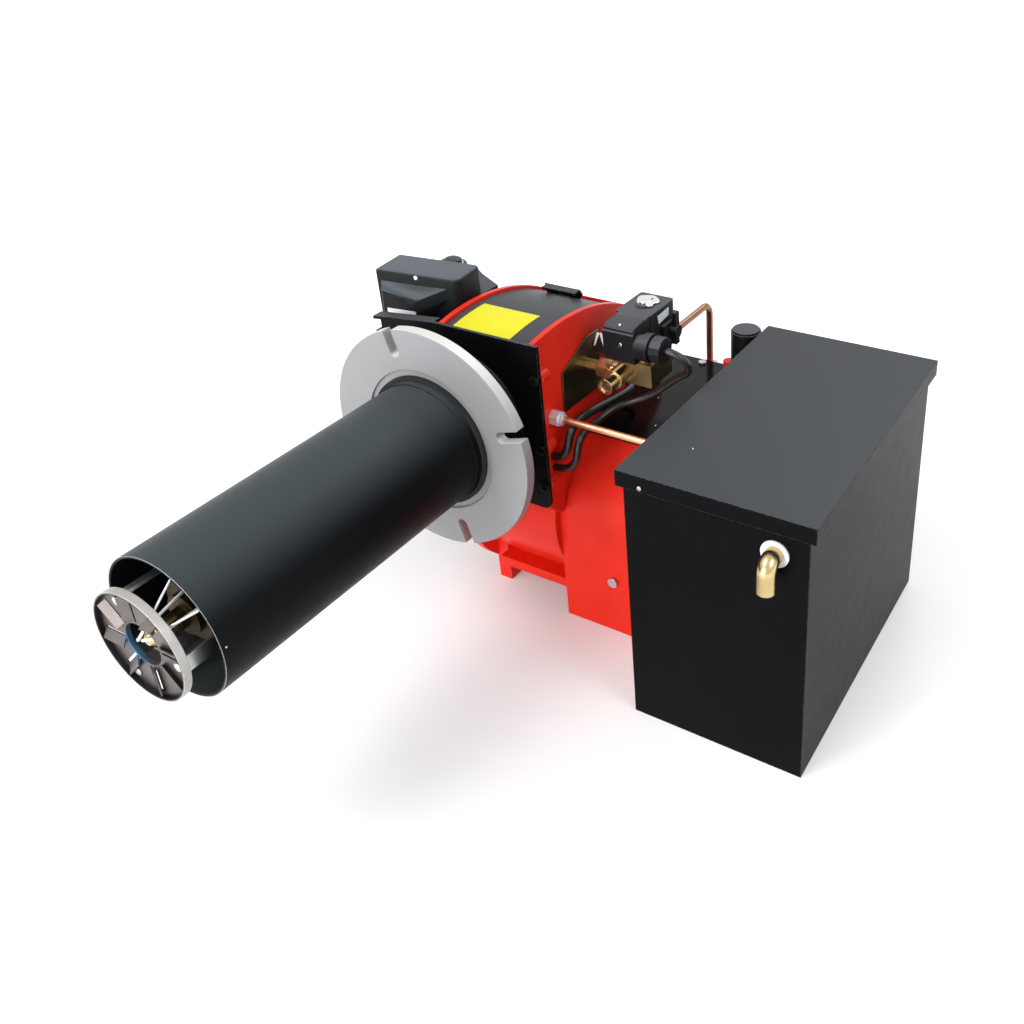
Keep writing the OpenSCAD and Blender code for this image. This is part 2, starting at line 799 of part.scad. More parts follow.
module side_casing() {
    color([0.82, 0.08, 0.05]) difference() {
        union() {
            along_x(casing_left, casing_right) casing2d(0);
            rod_z(casing_top - 6, casing_top + 10, casing_left + 77, casing_rear - 6.5, 6);
        }
        along_x(casing_left + casing_t, casing_right - casing_t) casing2d(-casing_t);
        block([casing_left + casing_t, fan_y, casing_top - 10],
              [casing_right - casing_t, casing_rear - 16, casing_top + 1]);
        rod_x(casing_left - 1, casing_left + casing_t + 1, fan_y, fan_z, eye_r);
        rod_x(casing_left - 1, casing_left + casing_t + 1, damper_y, damper_z, damper_r + fit);
        block([grille_x[0], casing_rear - 10, grille_z[0]], [grille_x[1], casing_rear + 1, grille_z[1]]);
        rod_y(casing_front - 1, casing_front + casing_t + 1, casing_left + 57, casing_screw_z, 2.5 + fit);
        for (p = lid_points()) rod_z(casing_top - 20, casing_top + 1, p[0], p[1], 2 + fit);
    }
}

// Places of the screws through the casing lid, over the side walls
function lid_points() = [
    for (x = [casing_left + 10, casing_left + 48]) [x, casing_rear - 10]
];

module casing_lid() {
    color([0.02, 0.02, 0.025]) difference() {
        along_x(casing_left, casing_right) intersection() {
            difference() {
                union() {
                    translate([fan_y, fan_z]) circle(casing_r + lid_t);
                    translate([fan_y, fan_z]) square([casing_back - 1, casing_r + lid_t]);
                }
                union() {
                    translate([fan_y, fan_z]) circle(casing_r + fit);
                    translate([fan_y, fan_z - 1]) square([casing_back, casing_r + 1]);
                }
            }
            polygon([
                [fan_y, fan_z], [fan_y - 140 * sin(lid_front_angle), fan_z + 140 * cos(lid_front_angle)],
                [casing_rear + 5, fan_z + 140], [casing_rear + 5, fan_z]
            ]);
        }
        for (p = lid_points()) rod_z(casing_top - 2, casing_top + 4, p[0], p[1], 2 + fit);
        rod_z(casing_top - 2, casing_top + 14, casing_left + 77, casing_rear - 6.5, 6 + fit);
    }
}

module casing_screws() {
    color([0.75, 0.76, 0.78]) {
        screw_y(casing_left + 57, casing_front, casing_screw_z, 5, casing_t + 4);
        for (p = lid_points()) {
            rod_z(casing_top + lid_t, casing_top + lid_t + 2.4, p[0], p[1], 4);
            rod_z(casing_top - 8, casing_top + lid_t, p[0], p[1], 2);
        }
    }
}

module intake_grille() {
    w = grille_x[1] - grille_x[0];
    h = grille_z[1] - grille_z[0];
    bars = 8;
    color([0.08, 0.08, 0.09]) difference() {
        block([grille_x[0] - 6, casing_rear, grille_z[0] - 6],
              [grille_x[1] + 6, casing_rear + 2, grille_z[1] + 6]);
        for (i = [0 : bars - 1])
            block([grille_x[0] + 3, casing_rear - 1, grille_z[0] + 3 + i * h / bars],
                  [grille_x[1] - 3, casing_rear + 3, grille_z[0] + (i + 1) * h / bars - 2]);
    }
}

module air_damper() {
    color([0.6, 0.6, 0.62]) {
        rod_x(casing_left - 14, grille_x[1] + 2, damper_y, damper_z, damper_r);
        block([grille_x[0] + 2, damper_y - 1, grille_z[0] - 3], [grille_x[1] - 2, damper_y + 1, damper_z]);
    }
    color([0.08, 0.08, 0.09]) {
        rod_x(casing_left - 14, casing_left - 4, damper_y, damper_z, 8);
        block([casing_left - 12, damper_y, damper_z - 3], [casing_left - 6, damper_y + 24, damper_z + 3]);
        rod_x(casing_left - 22, casing_left - 6, damper_y + 24, damper_z, 5);
    }
}

module motor_shell() {
    color([0.1, 0.1, 0.11]) difference() {
        union() {
            rod_x(motor_left, motor_right, fan_y, fan_z, motor_r - 4);
            rod_x(motor_right - 8, motor_right, fan_y, fan_z, motor_r + 4);
            for (a = [0 : 12 : 348]) translate([0, fan_y, fan_z]) rotate([a, 0, 0])
                block([motor_left, -1.25, motor_r - 8], [motor_right - 6, 1.25, motor_r]);
            rod_x(motor_left, motor_left + 6, fan_y, fan_z, motor_r);
        }
        rod_x(motor_left - 1, motor_right + 1, fan_y, fan_z, bearing_r + 0.02);
    }
}

module motor_end_cap() {
    color([0.08, 0.08, 0.09]) difference() {
        rod_x(motor_left - cap_l, motor_left, fan_y, fan_z, motor_r - 2);
        rod_x(motor_left - cap_l + 3, motor_left + 1, fan_y, fan_z, motor_r - 6);
        for (a = [0 : 30 : 330], r = [24, 36, 48]) translate([0, fan_y, fan_z]) rotate([a, 0, 0])
            rod_x(motor_left - cap_l - 1, motor_left - cap_l + 4, 0, r, 2.6);
    }
}

module motor_bearings() {
    color([0.7, 0.7, 0.72])
        for (x = [motor_left + 4, motor_right - bearing_w - 4])
            ring_x(x, x + bearing_w, fan_y, fan_z, bearing_r, shaft_r + fit);
}

module motor_shaft() {
    color([0.65, 0.65, 0.68])
        rod_x(motor_left + 2, casing_left + 29, fan_y, fan_z, shaft_r);
}

module fan_wheel() {
    x1 = fan_left + fan_w;
    blade_in = fan_r - 16;
    color([0.55, 0.56, 0.58]) {
        ring_x(fan_left, fan_left + 2, fan_y, fan_z, fan_r, shaft_r);
        ring_x(fan_left, fan_left + 22, fan_y, fan_z, shaft_r + 7, shaft_r);
        ring_x(x1 - 2, x1, fan_y, fan_z, fan_r, blade_in);
        translate([0, fan_y, fan_z]) along_x(fan_left + 1, x1 - 1) intersection() {
            difference() {
                circle(fan_r - 0.5);
                circle(blade_in + 0.5);
            }
            for (i = [0 : blades - 1]) rotate(360 / blades * i) translate([fan_r - 8, 13]) difference() {
                circle(15);
                circle(13.6);
                translate([-20, 0]) square([40, 20]);
            }
        }
    }
}

module shaft_coupling() {
    color([0.3, 0.3, 0.32]) difference() {
        union() {
            rod_x(casing_left + 15, casing_left + 27, fan_y, fan_z, 15);
            rod_x(casing_left + 27, casing_left + 33, fan_y, fan_z, 13);
            rod_x(casing_left + 33, casing_left + 45, fan_y, fan_z, 15);
        }
        rod_x(casing_left + 14, casing_left + 30, fan_y, fan_z, shaft_r);
        rod_x(casing_left + 29, casing_left + 46, fan_y, fan_z, pump_shaft_r);
    }
}

module pump_body() {
    wide = tip_r + 10;
    port_x = pump_x + pump_back_t + gear_w / 2;
    port_z = (fan_z + gear2_z) / 2;
    color([0.5, 0.5, 0.52]) difference() {
        union() {
            along_x(pump_x, pump_front) hull() {
                translate([fan_y, fan_z]) circle(wide);
                translate([fan_y, gear2_z]) circle(wide);
            }
            block([pump_x, fan_y - 24, floor_z + casing_t],
                  [pump_x + 20, fan_y + 24, floor_z + casing_t + 8]);
            block([pump_x, fan_y - 12, floor_z + casing_t], [pump_x + 14, fan_y + 12, gear2_z]);
            rod_y(fan_y - wide - 6, fan_y, port_x, port_z, 8);
            rod_y(fan_y, fan_y + wide + 6, port_x, port_z, 8);
        }
        for (z = [fan_z, gear2_z]) {
            rod_x(pump_x + pump_back_t, pump_front + 1, fan_y, z, tip_r + 0.3);
            rod_x(pump_x - 1, pump_x + pump_back_t + 1, fan_y, z, pump_shaft_r + fit);
        }
        rod_y(fan_y - wide - 7, fan_y + wide + 7, port_x, port_z, 4);
    }
}

module pump_cover() {
    wide = tip_r + 10;
    color([0.55, 0.55, 0.57]) difference() {
        along_x(pump_front, pump_front + cover_plate_t) hull() {
            translate([fan_y, fan_z]) circle(wide);
            translate([fan_y, gear2_z]) circle(wide);
        }
        for (z = [fan_z, gear2_z])
            rod_x(pump_front - 1, pump_front + cover_plate_t - 2, fan_y, z, pump_shaft_r + fit);
    }
}

// One gear outline on involute flanks, with a tooth centred on +X
function involute(rb, t) = [
    rb * (cos(t) + t * PI / 180 * sin(t)),
    rb * (sin(t) - t * PI / 180 * cos(t))
];
function turned(p, a) = [p[0] * cos(a) - p[1] * sin(a), p[0] * sin(a) + p[1] * cos(a)];
module gear2d() {
    rb = pitch_r * cos(25);
    t_tip = sqrt(pow(tip_r / rb, 2) - 1) * 180 / PI;
    t_pitch = sqrt(pow(pitch_r / rb, 2) - 1) * 180 / PI;
    at_pitch = t_pitch - atan(t_pitch * PI / 180);
    half = 90 / gear_z - gear_gap / pitch_r * 90 / PI + at_pitch;
    steps = 4;
    flank = [for (i = [0 : steps]) involute(rb, t_tip * i / steps)];
    union() {
        circle(root_r);
        for (k = [0 : gear_z - 1]) rotate(360 / gear_z * k) polygon(concat(
            [[0, -root_r * sin(half)]],
            [for (i = [0 : steps]) turned(flank[i], -half)],
            [for (i = [steps : -1 : 0]) let (p = turned(flank[i], -half)) [p[0], -p[1]]],
            [[0, root_r * sin(half)]]
        ));
    }
}

module drive_gear() {
    color([0.7, 0.66, 0.5]) {
        translate([0, fan_y, fan_z]) along_x(gear_x, gear_x + gear_w) rotate(-90) gear2d();
        rod_x(casing_left + 31, pump_front + cover_plate_t - 2.5, fan_y, fan_z, pump_shaft_r);
    }
}

module driven_gear() {
    color([0.7, 0.66, 0.5]) {
        translate([0, fan_y, gear2_z]) along_x(gear_x, gear_x + gear_w)
            rotate(90 + 180 / gear_z) gear2d();
        rod_x(pump_x + 1, pump_front + cover_plate_t - 2.5, fan_y, gear2_z, pump_shaft_r);
    }
}

module electrics_shelf() {
    web = 24;
    lip = 10;
    color([0.06, 0.06, 0.065]) {
        block([shelf_left, shelf_front, shelf_z], [wall_left, shelf_back, shelf_z + shelf_t]);
        block([shelf_left, shelf_front, shelf_z - lip], [shelf_left + 2, shelf_back, shelf_z]);
        for (y = [[shelf_front, sensor_y - 14], [sensor_y + 16, shelf_back - 6]])
            block([wall_left - 2, y[0], shelf_z - web], [wall_left, y[1], shelf_z]);
        for (y = [shelf_front, shelf_back - 2]) along_y(y, y + 2)
            polygon([
                [shelf_left, shelf_z - lip], [shelf_left, shelf_z],
                [wall_left, shelf_z], [wall_left, shelf_z - web]
            ]);
    }
}

module ignition_transformer() {
    w = trafo_half[0];
    front = -trafo_half[1];
    low = box_z;
    top = low + trafo_h;
    color([0.1, 0.105, 0.11]) translate([trafo_x, trafo_y, 0]) rotate([0, 0, trafo_turn]) {
        difference() {
            translate([-w, front, low]) linear_extrude(trafo_h) round_rect(trafo_w, trafo_d, 3);
            translate([-w - 1, front - 1, top - 4]) rotate([45, 0, 0]) translate([0, -6, 0])
                cube([trafo_w + 2, 6, 9]);
        }
        hull() {
            along_y(front - 1, front + 1) polygon([
                [6.5 - w, low + 4], [6.5 - w, top - 11], [w - 12.5, top - 10],
                [w - 9.9, top - 20], [w - 30, top - 38], [w - 36, low + 4]
            ]);
            along_y(front - hood_out, front - hood_out + 1) polygon([
                [15 - w, low + 6], [15 - w, top - 15], [w - 40, top - 22],
                [w - 40, top - 33], [w - 42, low + 6]
            ]);
        }
        for (x = [8 - w, w - 17]) block([x, trafo_half[1] - 1, low], [x + 9, trafo_half[1] + 4, low + 3]);
    }
}

module ignition_lead() {
    color([0.45, 0.5, 0.58]) cord(lead_route, 2.5, 3, 10);
}

module control_box() {
    color([0.07, 0.07, 0.075]) difference() {
        along_y(box_y, box_y + box_l) polygon([
            [box_left, box_z], [box_right, box_z], [box_right, box_top - 16],
            [box_right - 18, box_top - 7], [box_right - 26, box_top],
            [box_left + 6, box_top], [box_left, box_top - 6]
        ]);
        rod_z(box_top - 12, box_top + 1, button_x, button_y, button_r + fit);
        block([box_left - 1, box_y + 6, box_z + 12], [box_left + 1.5, box_y + box_l - 6, box_z + 13]);
    }
}

module button_bezel() {
    color([0.8, 0.8, 0.82]) difference() {
        rod_z(box_top, box_top + 6, button_x, button_y, button_r + 5);
        rod_z(box_top - 1, box_top + 7, button_x, button_y, button_r + fit);
    }
}

module reset_button() {
    color([0.04, 0.04, 0.045]) {
        rod_z(box_top - 6, box_top + 9, button_x, button_y, button_r);
        translate([button_x, button_y, box_top + 9]) intersection() {
            translate([0, 0, -12]) sphere(15);
            cylinder(r = button_r, h = 4);
        }
    }
}

module solenoid_coil() {
    half = coil_side / 2;
    color([0.06, 0.06, 0.065]) difference() {
        union() {
            translate([coil_x - half, coil_y - half - 5, coil_z]) linear_extrude(coil_h)
                round_rect(coil_side, coil_side + 11, 3);
            block([coil_x + half - 1, coil_y - 2, coil_z + 6], [coil_x + half + 3, coil_y + 20, coil_z + 26]);
        }
        rod_z(coil_z - 1, coil_top + 1, coil_x, coil_y, tube_armature_r + fit);
        rod_x(coil_x + half - 8, coil_x + half + 4, coil_y + 14, coil_z + 16, 3 + fit);
        rod_x(gland_x - slip, coil_x + half + 5, gland_y, gland_z, gland_r + slip);
    }
}

module din_plug() {
    left = gland_x - plug_w;
    back = coil_y - coil_side / 2 - 5;
    front = back - plug_d;
    color([0.05, 0.05, 0.055]) difference() {
        along_x(left, gland_x) polygon([
            [front + 2, coil_z + 2], [back, coil_z + 2], [back, coil_z + 36],
            [front + 5, coil_z + 35], [front, coil_z + 30], [front, coil_z + 4]
        ]);
        rod_y(front - 1, front + 10, left + 17, coil_z + 19, 2.4);
    }
}

module cable_gland() {
    color([0.05, 0.05, 0.055]) difference() {
        union() {
            rod_x(gland_x, gland_x + 13, gland_y, gland_z, gland_r);
            rod_x(gland_x + 13, gland_x + 15, gland_y, gland_z, gland_r - 3);
            translate([gland_x + 15, gland_y, gland_z]) rotate([0, 90, 0])
                cylinder(r = gland_r - 1, h = 10, $fn = 12);
        }
        rod_x(gland_x + 18, gland_x + 26, gland_y, gland_z, 4.5);
    }
}

module coil_clip() {
    color([0.82, 0.82, 0.84]) difference() {
        union() {
            rod_z(coil_top, coil_top + 1, coil_x, coil_y, 10);
            block([coil_x - 4, coil_y, coil_top], [coil_x + 4, coil_y + 14, coil_top + 1]);
            hex_z(coil_top + 1, coil_top + 5, coil_x, coil_y, 14);
        }
        rod_z(coil_top - 1, coil_top + 6, coil_x, coil_y, 4);
    }
}

module valve_body() {
    tube_in = plunger_r + fit;
    color([0.75, 0.58, 0.25]) difference() {
        union() {
            block([coil_x - 19, coil_y - 17, valve_low], [coil_x + 14, coil_y + 21, valve_top]);
            rod_z(valve_top, coil_z, coil_x, coil_y, 13);
            rod_z(coil_z, coil_top, coil_x, coil_y, tube_armature_r);
            rod_z(coil_top, coil_top + 3, coil_x, coil_y, 4 - fit);
            hex_y(coil_y + 21, coil_y + 31, line_x, line_z, 15);
        }
        rod_z(line_z, coil_top - 2, coil_x, coil_y, tube_in);
        rod_x(line_x, coil_x, coil_y, line_z, 2);
        rod_y(coil_y - 18, coil_y + 32, line_x, line_z, air_od / 2 + fit);
    }
}

module valve_plunger() {
    color([0.7, 0.7, 0.72]) {
        rod_z(line_z + 2, coil_top - 8, coil_x, coil_y, plunger_r);
    }
}

module valve_lever() {
    x = coil_x + coil_side / 2 + 3;
    y = coil_y + 14;
    z = coil_z + 16;
    color([0.05, 0.05, 0.055]) {
        rod_x(x - 8, x, y, z, 3);
        rod_x(x, x + 6, y, z, 6);
        block([x + 1, y - 3, z], [x + 5, y + 3, z + 17]);
        rod_x(x + 1, x + 5, y, z + 17, 3);
        block([x + 1, y - 3, z - 12], [x + 5, y + 3, z]);
    }
}

module brass_tee() {
    body_front = plug_front + 14;
    color([0.78, 0.6, 0.28]) {
        rod_x(wall_right - 4, line_x - 20, line_y, line_z, 5.5);
        hex_x(line_x - 24, line_x - 10, line_y, line_z, 17);
        rod_x(line_x - 12, coil_x - 19 - slip, line_y, line_z, 8);
        rod_y(body_front, coil_y - 17, line_x, line_z, 9);
        rod_y(plug_front + 2, body_front, line_x, line_z, 7.4);
        difference() {
            rod_y(plug_front, plug_front + 2, line_x, line_z, 7.4);
            rod_y(plug_front - 1, plug_front + 1.2, line_x, line_z, 5);
        }
    }
}

module air_pipe() {
    r = air_od / 2;
    start = coil_y + 24;
    color([0.55, 0.25, 0.14]) {
        rod_y(start, air_back - pipe_turn, line_x, line_z, r);
        translate([line_x, air_back - pipe_turn, line_z - pipe_turn]) rotate([90, 0, 90])
            rotate_extrude(angle = 90) translate([pipe_turn, 0]) circle(r, $fn = 32);
        rod_z(air_low, line_z - pipe_turn, line_x, air_back, r);
    }
}

module oil_pipe() {
    color([0.72, 0.36, 0.2])
        rod_x(wall_right - 3, tank_left + tank_t, oil_y, oil_z, oil_od / 2);
}

module pipe_nuts() {
    color([0.75, 0.75, 0.77]) {
        difference() {
            union() {
                hex_x(wall_right, wall_right + 9, oil_y, oil_z, 13);
                rod_x(wall_right + 9, wall_right + 12, oil_y, oil_z, 5);
                hex_x(tank_left - 9, tank_left, oil_y, oil_z, 12);
            }
            rod_x(wall_right - 1, tank_left + 1, oil_y, oil_z, oil_od / 2 + 0.02);
        }
        difference() {
            union() {
                hex_z(air_low - 12, air_low + 6, line_x, air_back, 14);
                rod_z(air_low - 20, air_low - 12, line_x, air_back, 6.6);
            }
            rod_z(air_low, air_low + 7, line_x, air_back, air_od / 2 + 0.02);
            rod_z(air_low - 21, air_low + 1, line_x, air_back, 3);
        }
        difference() {
            block([line_x - 6, casing_rear, clip_z - 6], [line_x + 6, air_back + 6, clip_z + 6]);
            rod_z(clip_z - 7, clip_z + 7, line_x, air_back, air_od / 2 + 0.02);
        }
    }
}

module valve_cable() {
    color([0.03, 0.03, 0.03]) cord(valve_route, 3.5, 2, 10);
}

module cable_loom() {
    color([0.03, 0.03, 0.03]) cord(loom_route, 4, 2, 10);
}

module capacitor() {
    cx = casing_left + 101;
    cy = casing_rear - 17;
    color([0.07, 0.07, 0.075]) {
        rod_z(casing_top + lid_t, casing_top + lid_t + 6, cx, cy, 13);
        rod_z(casing_top + lid_t + 6, casing_top + lid_t + 52, cx, cy, 15);
        rod_z(casing_top + lid_t + 52, casing_top + lid_t + 54, cx, cy, 13.5);
    }
}

module tank_body() {
    color([0.04, 0.042, 0.045]) difference() {
        block([tank_left, tank_front, floor_z], [tank_right, tank_back, lid_z]);
        block([tank_left + tank_t, tank_front + tank_t, floor_z + tank_t],
              [tank_right - tank_t, tank_back - tank_t, lid_z + 1]);
        rod_y(tank_front - 1, tank_front + tank_t + 1, elbow_x, elbow_z, 6 + fit);
        rod_x(tank_left - 1, tank_left + tank_t + 1, oil_y, oil_z, oil_od / 2 + fit);
        rod_y(tank_back - tank_t - 1, tank_back + 1, pivot_x + 40, floor_z + 40, 11 + fit);
    }
}

module tank_lid() {
    x0 = tank_left - lid_over;
    x1 = tank_right + lid_over;
    y0 = tank_front - lid_over / 2;
    y1 = tank_back + lid_over / 2;
    t = 1.5;
    color([0.04, 0.042, 0.045]) difference() {
        block([x0, y0, tank_top - skirt], [x1, y1, tank_top]);
        block([x0 + t, y0 + t, tank_top - skirt - 1], [x1 - t, y1 - t, lid_z]);
    }
}

module tank_elbow() {
    face = tank_front - 1.5;
    turn = elbow_r + 1.1;
    color([0.72, 0.56, 0.26]) difference() {
        union() {
            rod_y(face, tank_front + 14, elbow_x, elbow_z, 6);
            rod_y(face - elbow_out + turn, face, elbow_x, elbow_z, elbow_r);
            translate([elbow_x, face - elbow_out + turn, elbow_z - turn]) rotate([90, 0, -90])
                rotate_extrude(angle = 90) translate([turn, 0]) circle(elbow_r);
            rod_z(elbow_z - elbow_drop, elbow_z - turn, elbow_x, face - elbow_out, elbow_r);
        }
        rod_z(elbow_z - elbow_drop - 1, elbow_z - turn, elbow_x, face - elbow_out, 4);
    }
}

module elbow_washer() {
    color([0.9, 0.9, 0.9]) difference() {
        rod_y(tank_front - 1.5, tank_front, elbow_x, elbow_z, 11.5);
        rod_y(tank_front - 3, tank_front + 1, elbow_x, elbow_z, 6 + fit);
    }
}

module float_pivot() {
    y1 = tank_back - tank_t;
    color([0.7, 0.7, 0.72]) {
        for (s = [-1, 1]) {
            x = pivot_x + s * 7;
            block([x - 1, pivot_y - 5, pivot_z - 5], [x + 1, y1, pivot_z + 5]);
        }
        block([pivot_x - 10, y1 - 2, pivot_z - 12], [pivot_x + 10, y1, pivot_z + 12]);
        rod_x(pivot_x - 10, pivot_x + 10, pivot_y, pivot_z, 2);
    }
}

module float_arm() {
    translate([pivot_x, pivot_y, pivot_z]) rotate([float_drop, 0, 0]) {
        color([0.7, 0.7, 0.72]) difference() {
            union() {
                rod_x(-5, 5, 0, 0, 4.5);
                rod_y(-float_arm_l, -3, 0, 0, 1.5);
            }
            rod_x(-6, 6, 0, 0, 2 + fit);
        }
        color([0.1, 0.1, 0.11]) translate([0, -float_arm_l, -14]) cylinder(r = 26, h = 28);
    }
}

module oil_heater() {
    hx = pivot_x + 40;
    hz = floor_z + 40;
    r = 4;
    bend_y = tank_back - heating_l;
    color([0.6, 0.6, 0.62]) {
        rod_y(tank_back - tank_t, tank_back, hx, hz, 11);
        hex_y(tank_back, tank_back + 8, hx, hz, 27);
        rod_y(tank_back + 8, tank_back + 26, hx, hz, 13);
        for (s = [-1, 1]) rod_y(bend_y, tank_back - tank_t, hx + s * 6, hz, r);
        translate([hx, bend_y, hz]) rotate([0, 0, 180])
            rotate_extrude(angle = 180) translate([6, 0]) circle(r, $fn = 32);
    }
}

blast_tube();
mounting_flange();
flange_seal();
flange_screws();
front_plate();
plate_screws();
nozzle_pipe();
preheater_block();
nozzle();
electrodes();
electrode_clamp();
diffuser_disc();
disc_struts();
air_housing();
top_cover();
cover_bracket();
fitting_plate();
flame_sensor();
side_casing();
casing_lid();
casing_screws();
intake_grille();
air_damper();
motor_shell();
motor_end_cap();
motor_bearings();
motor_shaft();
fan_wheel();
shaft_coupling();
pump_body();
pump_cover();
drive_gear();
driven_gear();
electrics_shelf();
ignition_transformer();
ignition_lead();
control_box();
button_bezel();
reset_button();
solenoid_coil();
din_plug();
cable_gland();
coil_clip();
valve_body();
valve_plunger();
valve_lever();
brass_tee();
air_pipe();
oil_pipe();
pipe_nuts();
valve_cable();
cable_loom();
capacitor();
tank_body();
tank_lid();
tank_elbow();
elbow_washer();
float_arm();
float_pivot();
oil_heater();
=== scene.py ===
# %% [markdown]
# A waste oil burner is a small machine of painted sheet, castings and fittings.
# The rigid shapes come from the CAD model, which is loaded here as a fixed frame.
# Everything made below is placed in that frame, in metres.

# %% Load the frame
import json
import math

import bmesh
import bpy
from mathutils import Matrix, Vector


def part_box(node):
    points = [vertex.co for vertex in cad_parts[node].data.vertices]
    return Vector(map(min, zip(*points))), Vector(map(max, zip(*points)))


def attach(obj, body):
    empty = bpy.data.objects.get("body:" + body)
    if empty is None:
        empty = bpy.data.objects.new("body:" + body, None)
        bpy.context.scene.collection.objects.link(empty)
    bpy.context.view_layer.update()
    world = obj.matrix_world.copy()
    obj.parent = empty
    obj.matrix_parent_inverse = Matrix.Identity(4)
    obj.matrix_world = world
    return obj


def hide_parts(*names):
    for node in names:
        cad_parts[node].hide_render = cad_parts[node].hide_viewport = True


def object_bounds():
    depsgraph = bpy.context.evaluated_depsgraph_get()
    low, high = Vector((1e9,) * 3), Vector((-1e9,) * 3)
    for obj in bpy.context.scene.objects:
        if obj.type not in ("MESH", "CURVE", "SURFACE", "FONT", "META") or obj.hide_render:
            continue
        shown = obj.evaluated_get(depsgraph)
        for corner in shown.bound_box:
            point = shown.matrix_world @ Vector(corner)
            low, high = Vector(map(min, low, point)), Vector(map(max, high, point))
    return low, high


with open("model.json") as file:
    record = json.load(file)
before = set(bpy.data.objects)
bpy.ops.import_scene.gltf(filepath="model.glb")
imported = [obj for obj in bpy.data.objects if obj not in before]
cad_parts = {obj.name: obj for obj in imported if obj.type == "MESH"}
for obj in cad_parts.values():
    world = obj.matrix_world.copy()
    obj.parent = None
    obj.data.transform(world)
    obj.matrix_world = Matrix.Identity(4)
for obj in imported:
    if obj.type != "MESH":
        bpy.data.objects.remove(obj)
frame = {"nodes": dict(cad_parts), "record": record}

MM = 0.001
CAD_LOW, CAD_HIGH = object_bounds()
NODES = frame["nodes"]
print(f"{len(NODES)} CAD nodes, from {tuple(CAD_LOW)} to {tuple(CAD_HIGH)}")

# %% [markdown]
# The photograph looks down on the burner from the flame end and the tank side.
# Its viewpoint was found by fitting a camera to the edges of the flange, tube and tank.
# The camera is set from that fitted place, heading, tilt and roll, and the small shift
# frames the burner as the photograph does.

# %% Camera
CAMERA_PLACE = Vector((0.5743, -0.5693, 0.4759))
HEADING, TILT, ROLL = (math.radians(a) for a in (30.93, 27.80, -2.16))
# The sensor's width and the focal length are in millimetres, the shift is a share of the width.
SENSOR = 36.0
FOCAL = 36.728
FRAME_SHIFT = -0.14


def camera_axes(heading, tilt, roll):
    """Right, up and forward of a camera that looks along +Y before it is turned."""
    reach = math.cos(tilt)
    forward = Vector((-math.sin(heading) * reach, math.cos(heading) * reach, -math.sin(tilt)))
    level = forward.cross(Vector((0, 0, 1))).normalized()
    upright = level.cross(forward)
    right = math.cos(roll) * level + math.sin(roll) * upright
    up = -math.sin(roll) * level + math.cos(roll) * upright
    return right, up, forward


camera_data = bpy.data.cameras.new("camera")
camera_data.sensor_width = SENSOR
camera_data.lens = FOCAL
camera_data.shift_x = FRAME_SHIFT
camera_data.shift_y = FRAME_SHIFT
camera_data.clip_start, camera_data.clip_end = 0.05, 20
camera = bpy.data.objects.new("camera", camera_data)
bpy.context.collection.objects.link(camera)
right, up, forward = camera_axes(HEADING, TILT, ROLL)
facing = Matrix((right, up, -forward)).transposed().to_4x4()
camera.matrix_world = Matrix.Translation(CAMERA_PLACE) @ facing
bpy.context.scene.camera = camera
print("camera at", tuple(round(v, 3) for v in camera.location))

# %% [markdown]
# A product photograph of this kind is taken in a white room. A pale world gives its
# even light, at a level where white paper would just be white. The white of the
# background is only for rays that look at it, straight or in a reflection, so it adds
# no light to the object. Small helpers add a node, join two nodes and combine two values.

# %% World
scene = bpy.context.scene
scene.view_settings.view_transform = "Standard"


def add_node(owner, kind, settings=None, **sockets):
    """A node in a world or a finish, with settings on it and values on its inputs."""
    node = owner.node_tree.nodes.new(kind)
    for key, value in (settings or {}).items():
        setattr(node, key, value)
    for key, value in sockets.items():
        node.inputs[key.replace("_", " ")].default_value = value
    return node


def join(owner, source, target):
    """Joins an output of one node to an input of another."""
    owner.node_tree.links.new(source, target)


def combine(owner, operation, first, second):
    """One value from two, such as their product or the larger of them."""
    node = add_node(owner, "ShaderNodeMath", {"operation": operation})
    join(owner, first, node.inputs[0])
    join(owner, second, node.inputs[1])
    return node.outputs[0]


def looking_ray(owner):
    """1 for a ray that shows its surface: from the camera, a reflection or through glass."""
    ray = add_node(owner, "ShaderNodeLightPath")
    direct = combine(owner, "MAXIMUM", ray.outputs["Is Camera Ray"], ray.outputs["Is Glossy Ray"])
    return combine(owner, "MAXIMUM", direct, ray.outputs["Is Transmission Ray"])


world = bpy.data.worlds.new("studio")
scene.world = world
world.use_nodes = True
world.node_tree.nodes.clear()
room = add_node(world, "ShaderNodeBackground", Color=(0.92, 0.95, 1.0, 1), Strength=0.45)
seen = add_node(world, "ShaderNodeBackground", Color=(1, 1, 1, 1), Strength=1.0)
pick = add_node(world, "ShaderNodeMixShader")
out = add_node(world, "ShaderNodeOutputWorld")
join(world, looking_ray(world), pick.inputs[0])
join(world, room.outputs[0], pick.inputs[1])
join(world, seen.outputs[0], pick.inputs[2])
join(world, pick.outputs[0], out.inputs["Surface"])
print("world nodes:", len(world.node_tree.nodes))

# %% [markdown]
# A soft lamp gives a highlight as broad as itself, which shows the curve of the tube and
# the flat of the tank. Four wide area lamps stand over the burner, in front of it, at its
# side and behind it. A lamp shines along its own -Z axis, which is turned to the target.

# %% Lamps
# Name, place, target and width in metres, power in watts and colour.
LAMPS = [
    ("key_lamp", (-0.7, -1.1, 1.9), (0.1, 0, 0), 1.1, 30, (1, 0.99, 0.97)),
    ("front_lamp", (-0.15, -1.9, 0.35), (0.1, 0, -0.05), 1.0, 28, (1, 0.99, 0.98)),
    ("side_lamp", (1.6, -0.3, 1.1), (0.1, 0, -0.05), 0.8, 11, (0.97, 0.98, 1)),
    ("back_lamp", (0.2, 1.7, 1.6), (0.1, 0.1, 0), 1.0, 14, (0.95, 0.98, 1)),
]


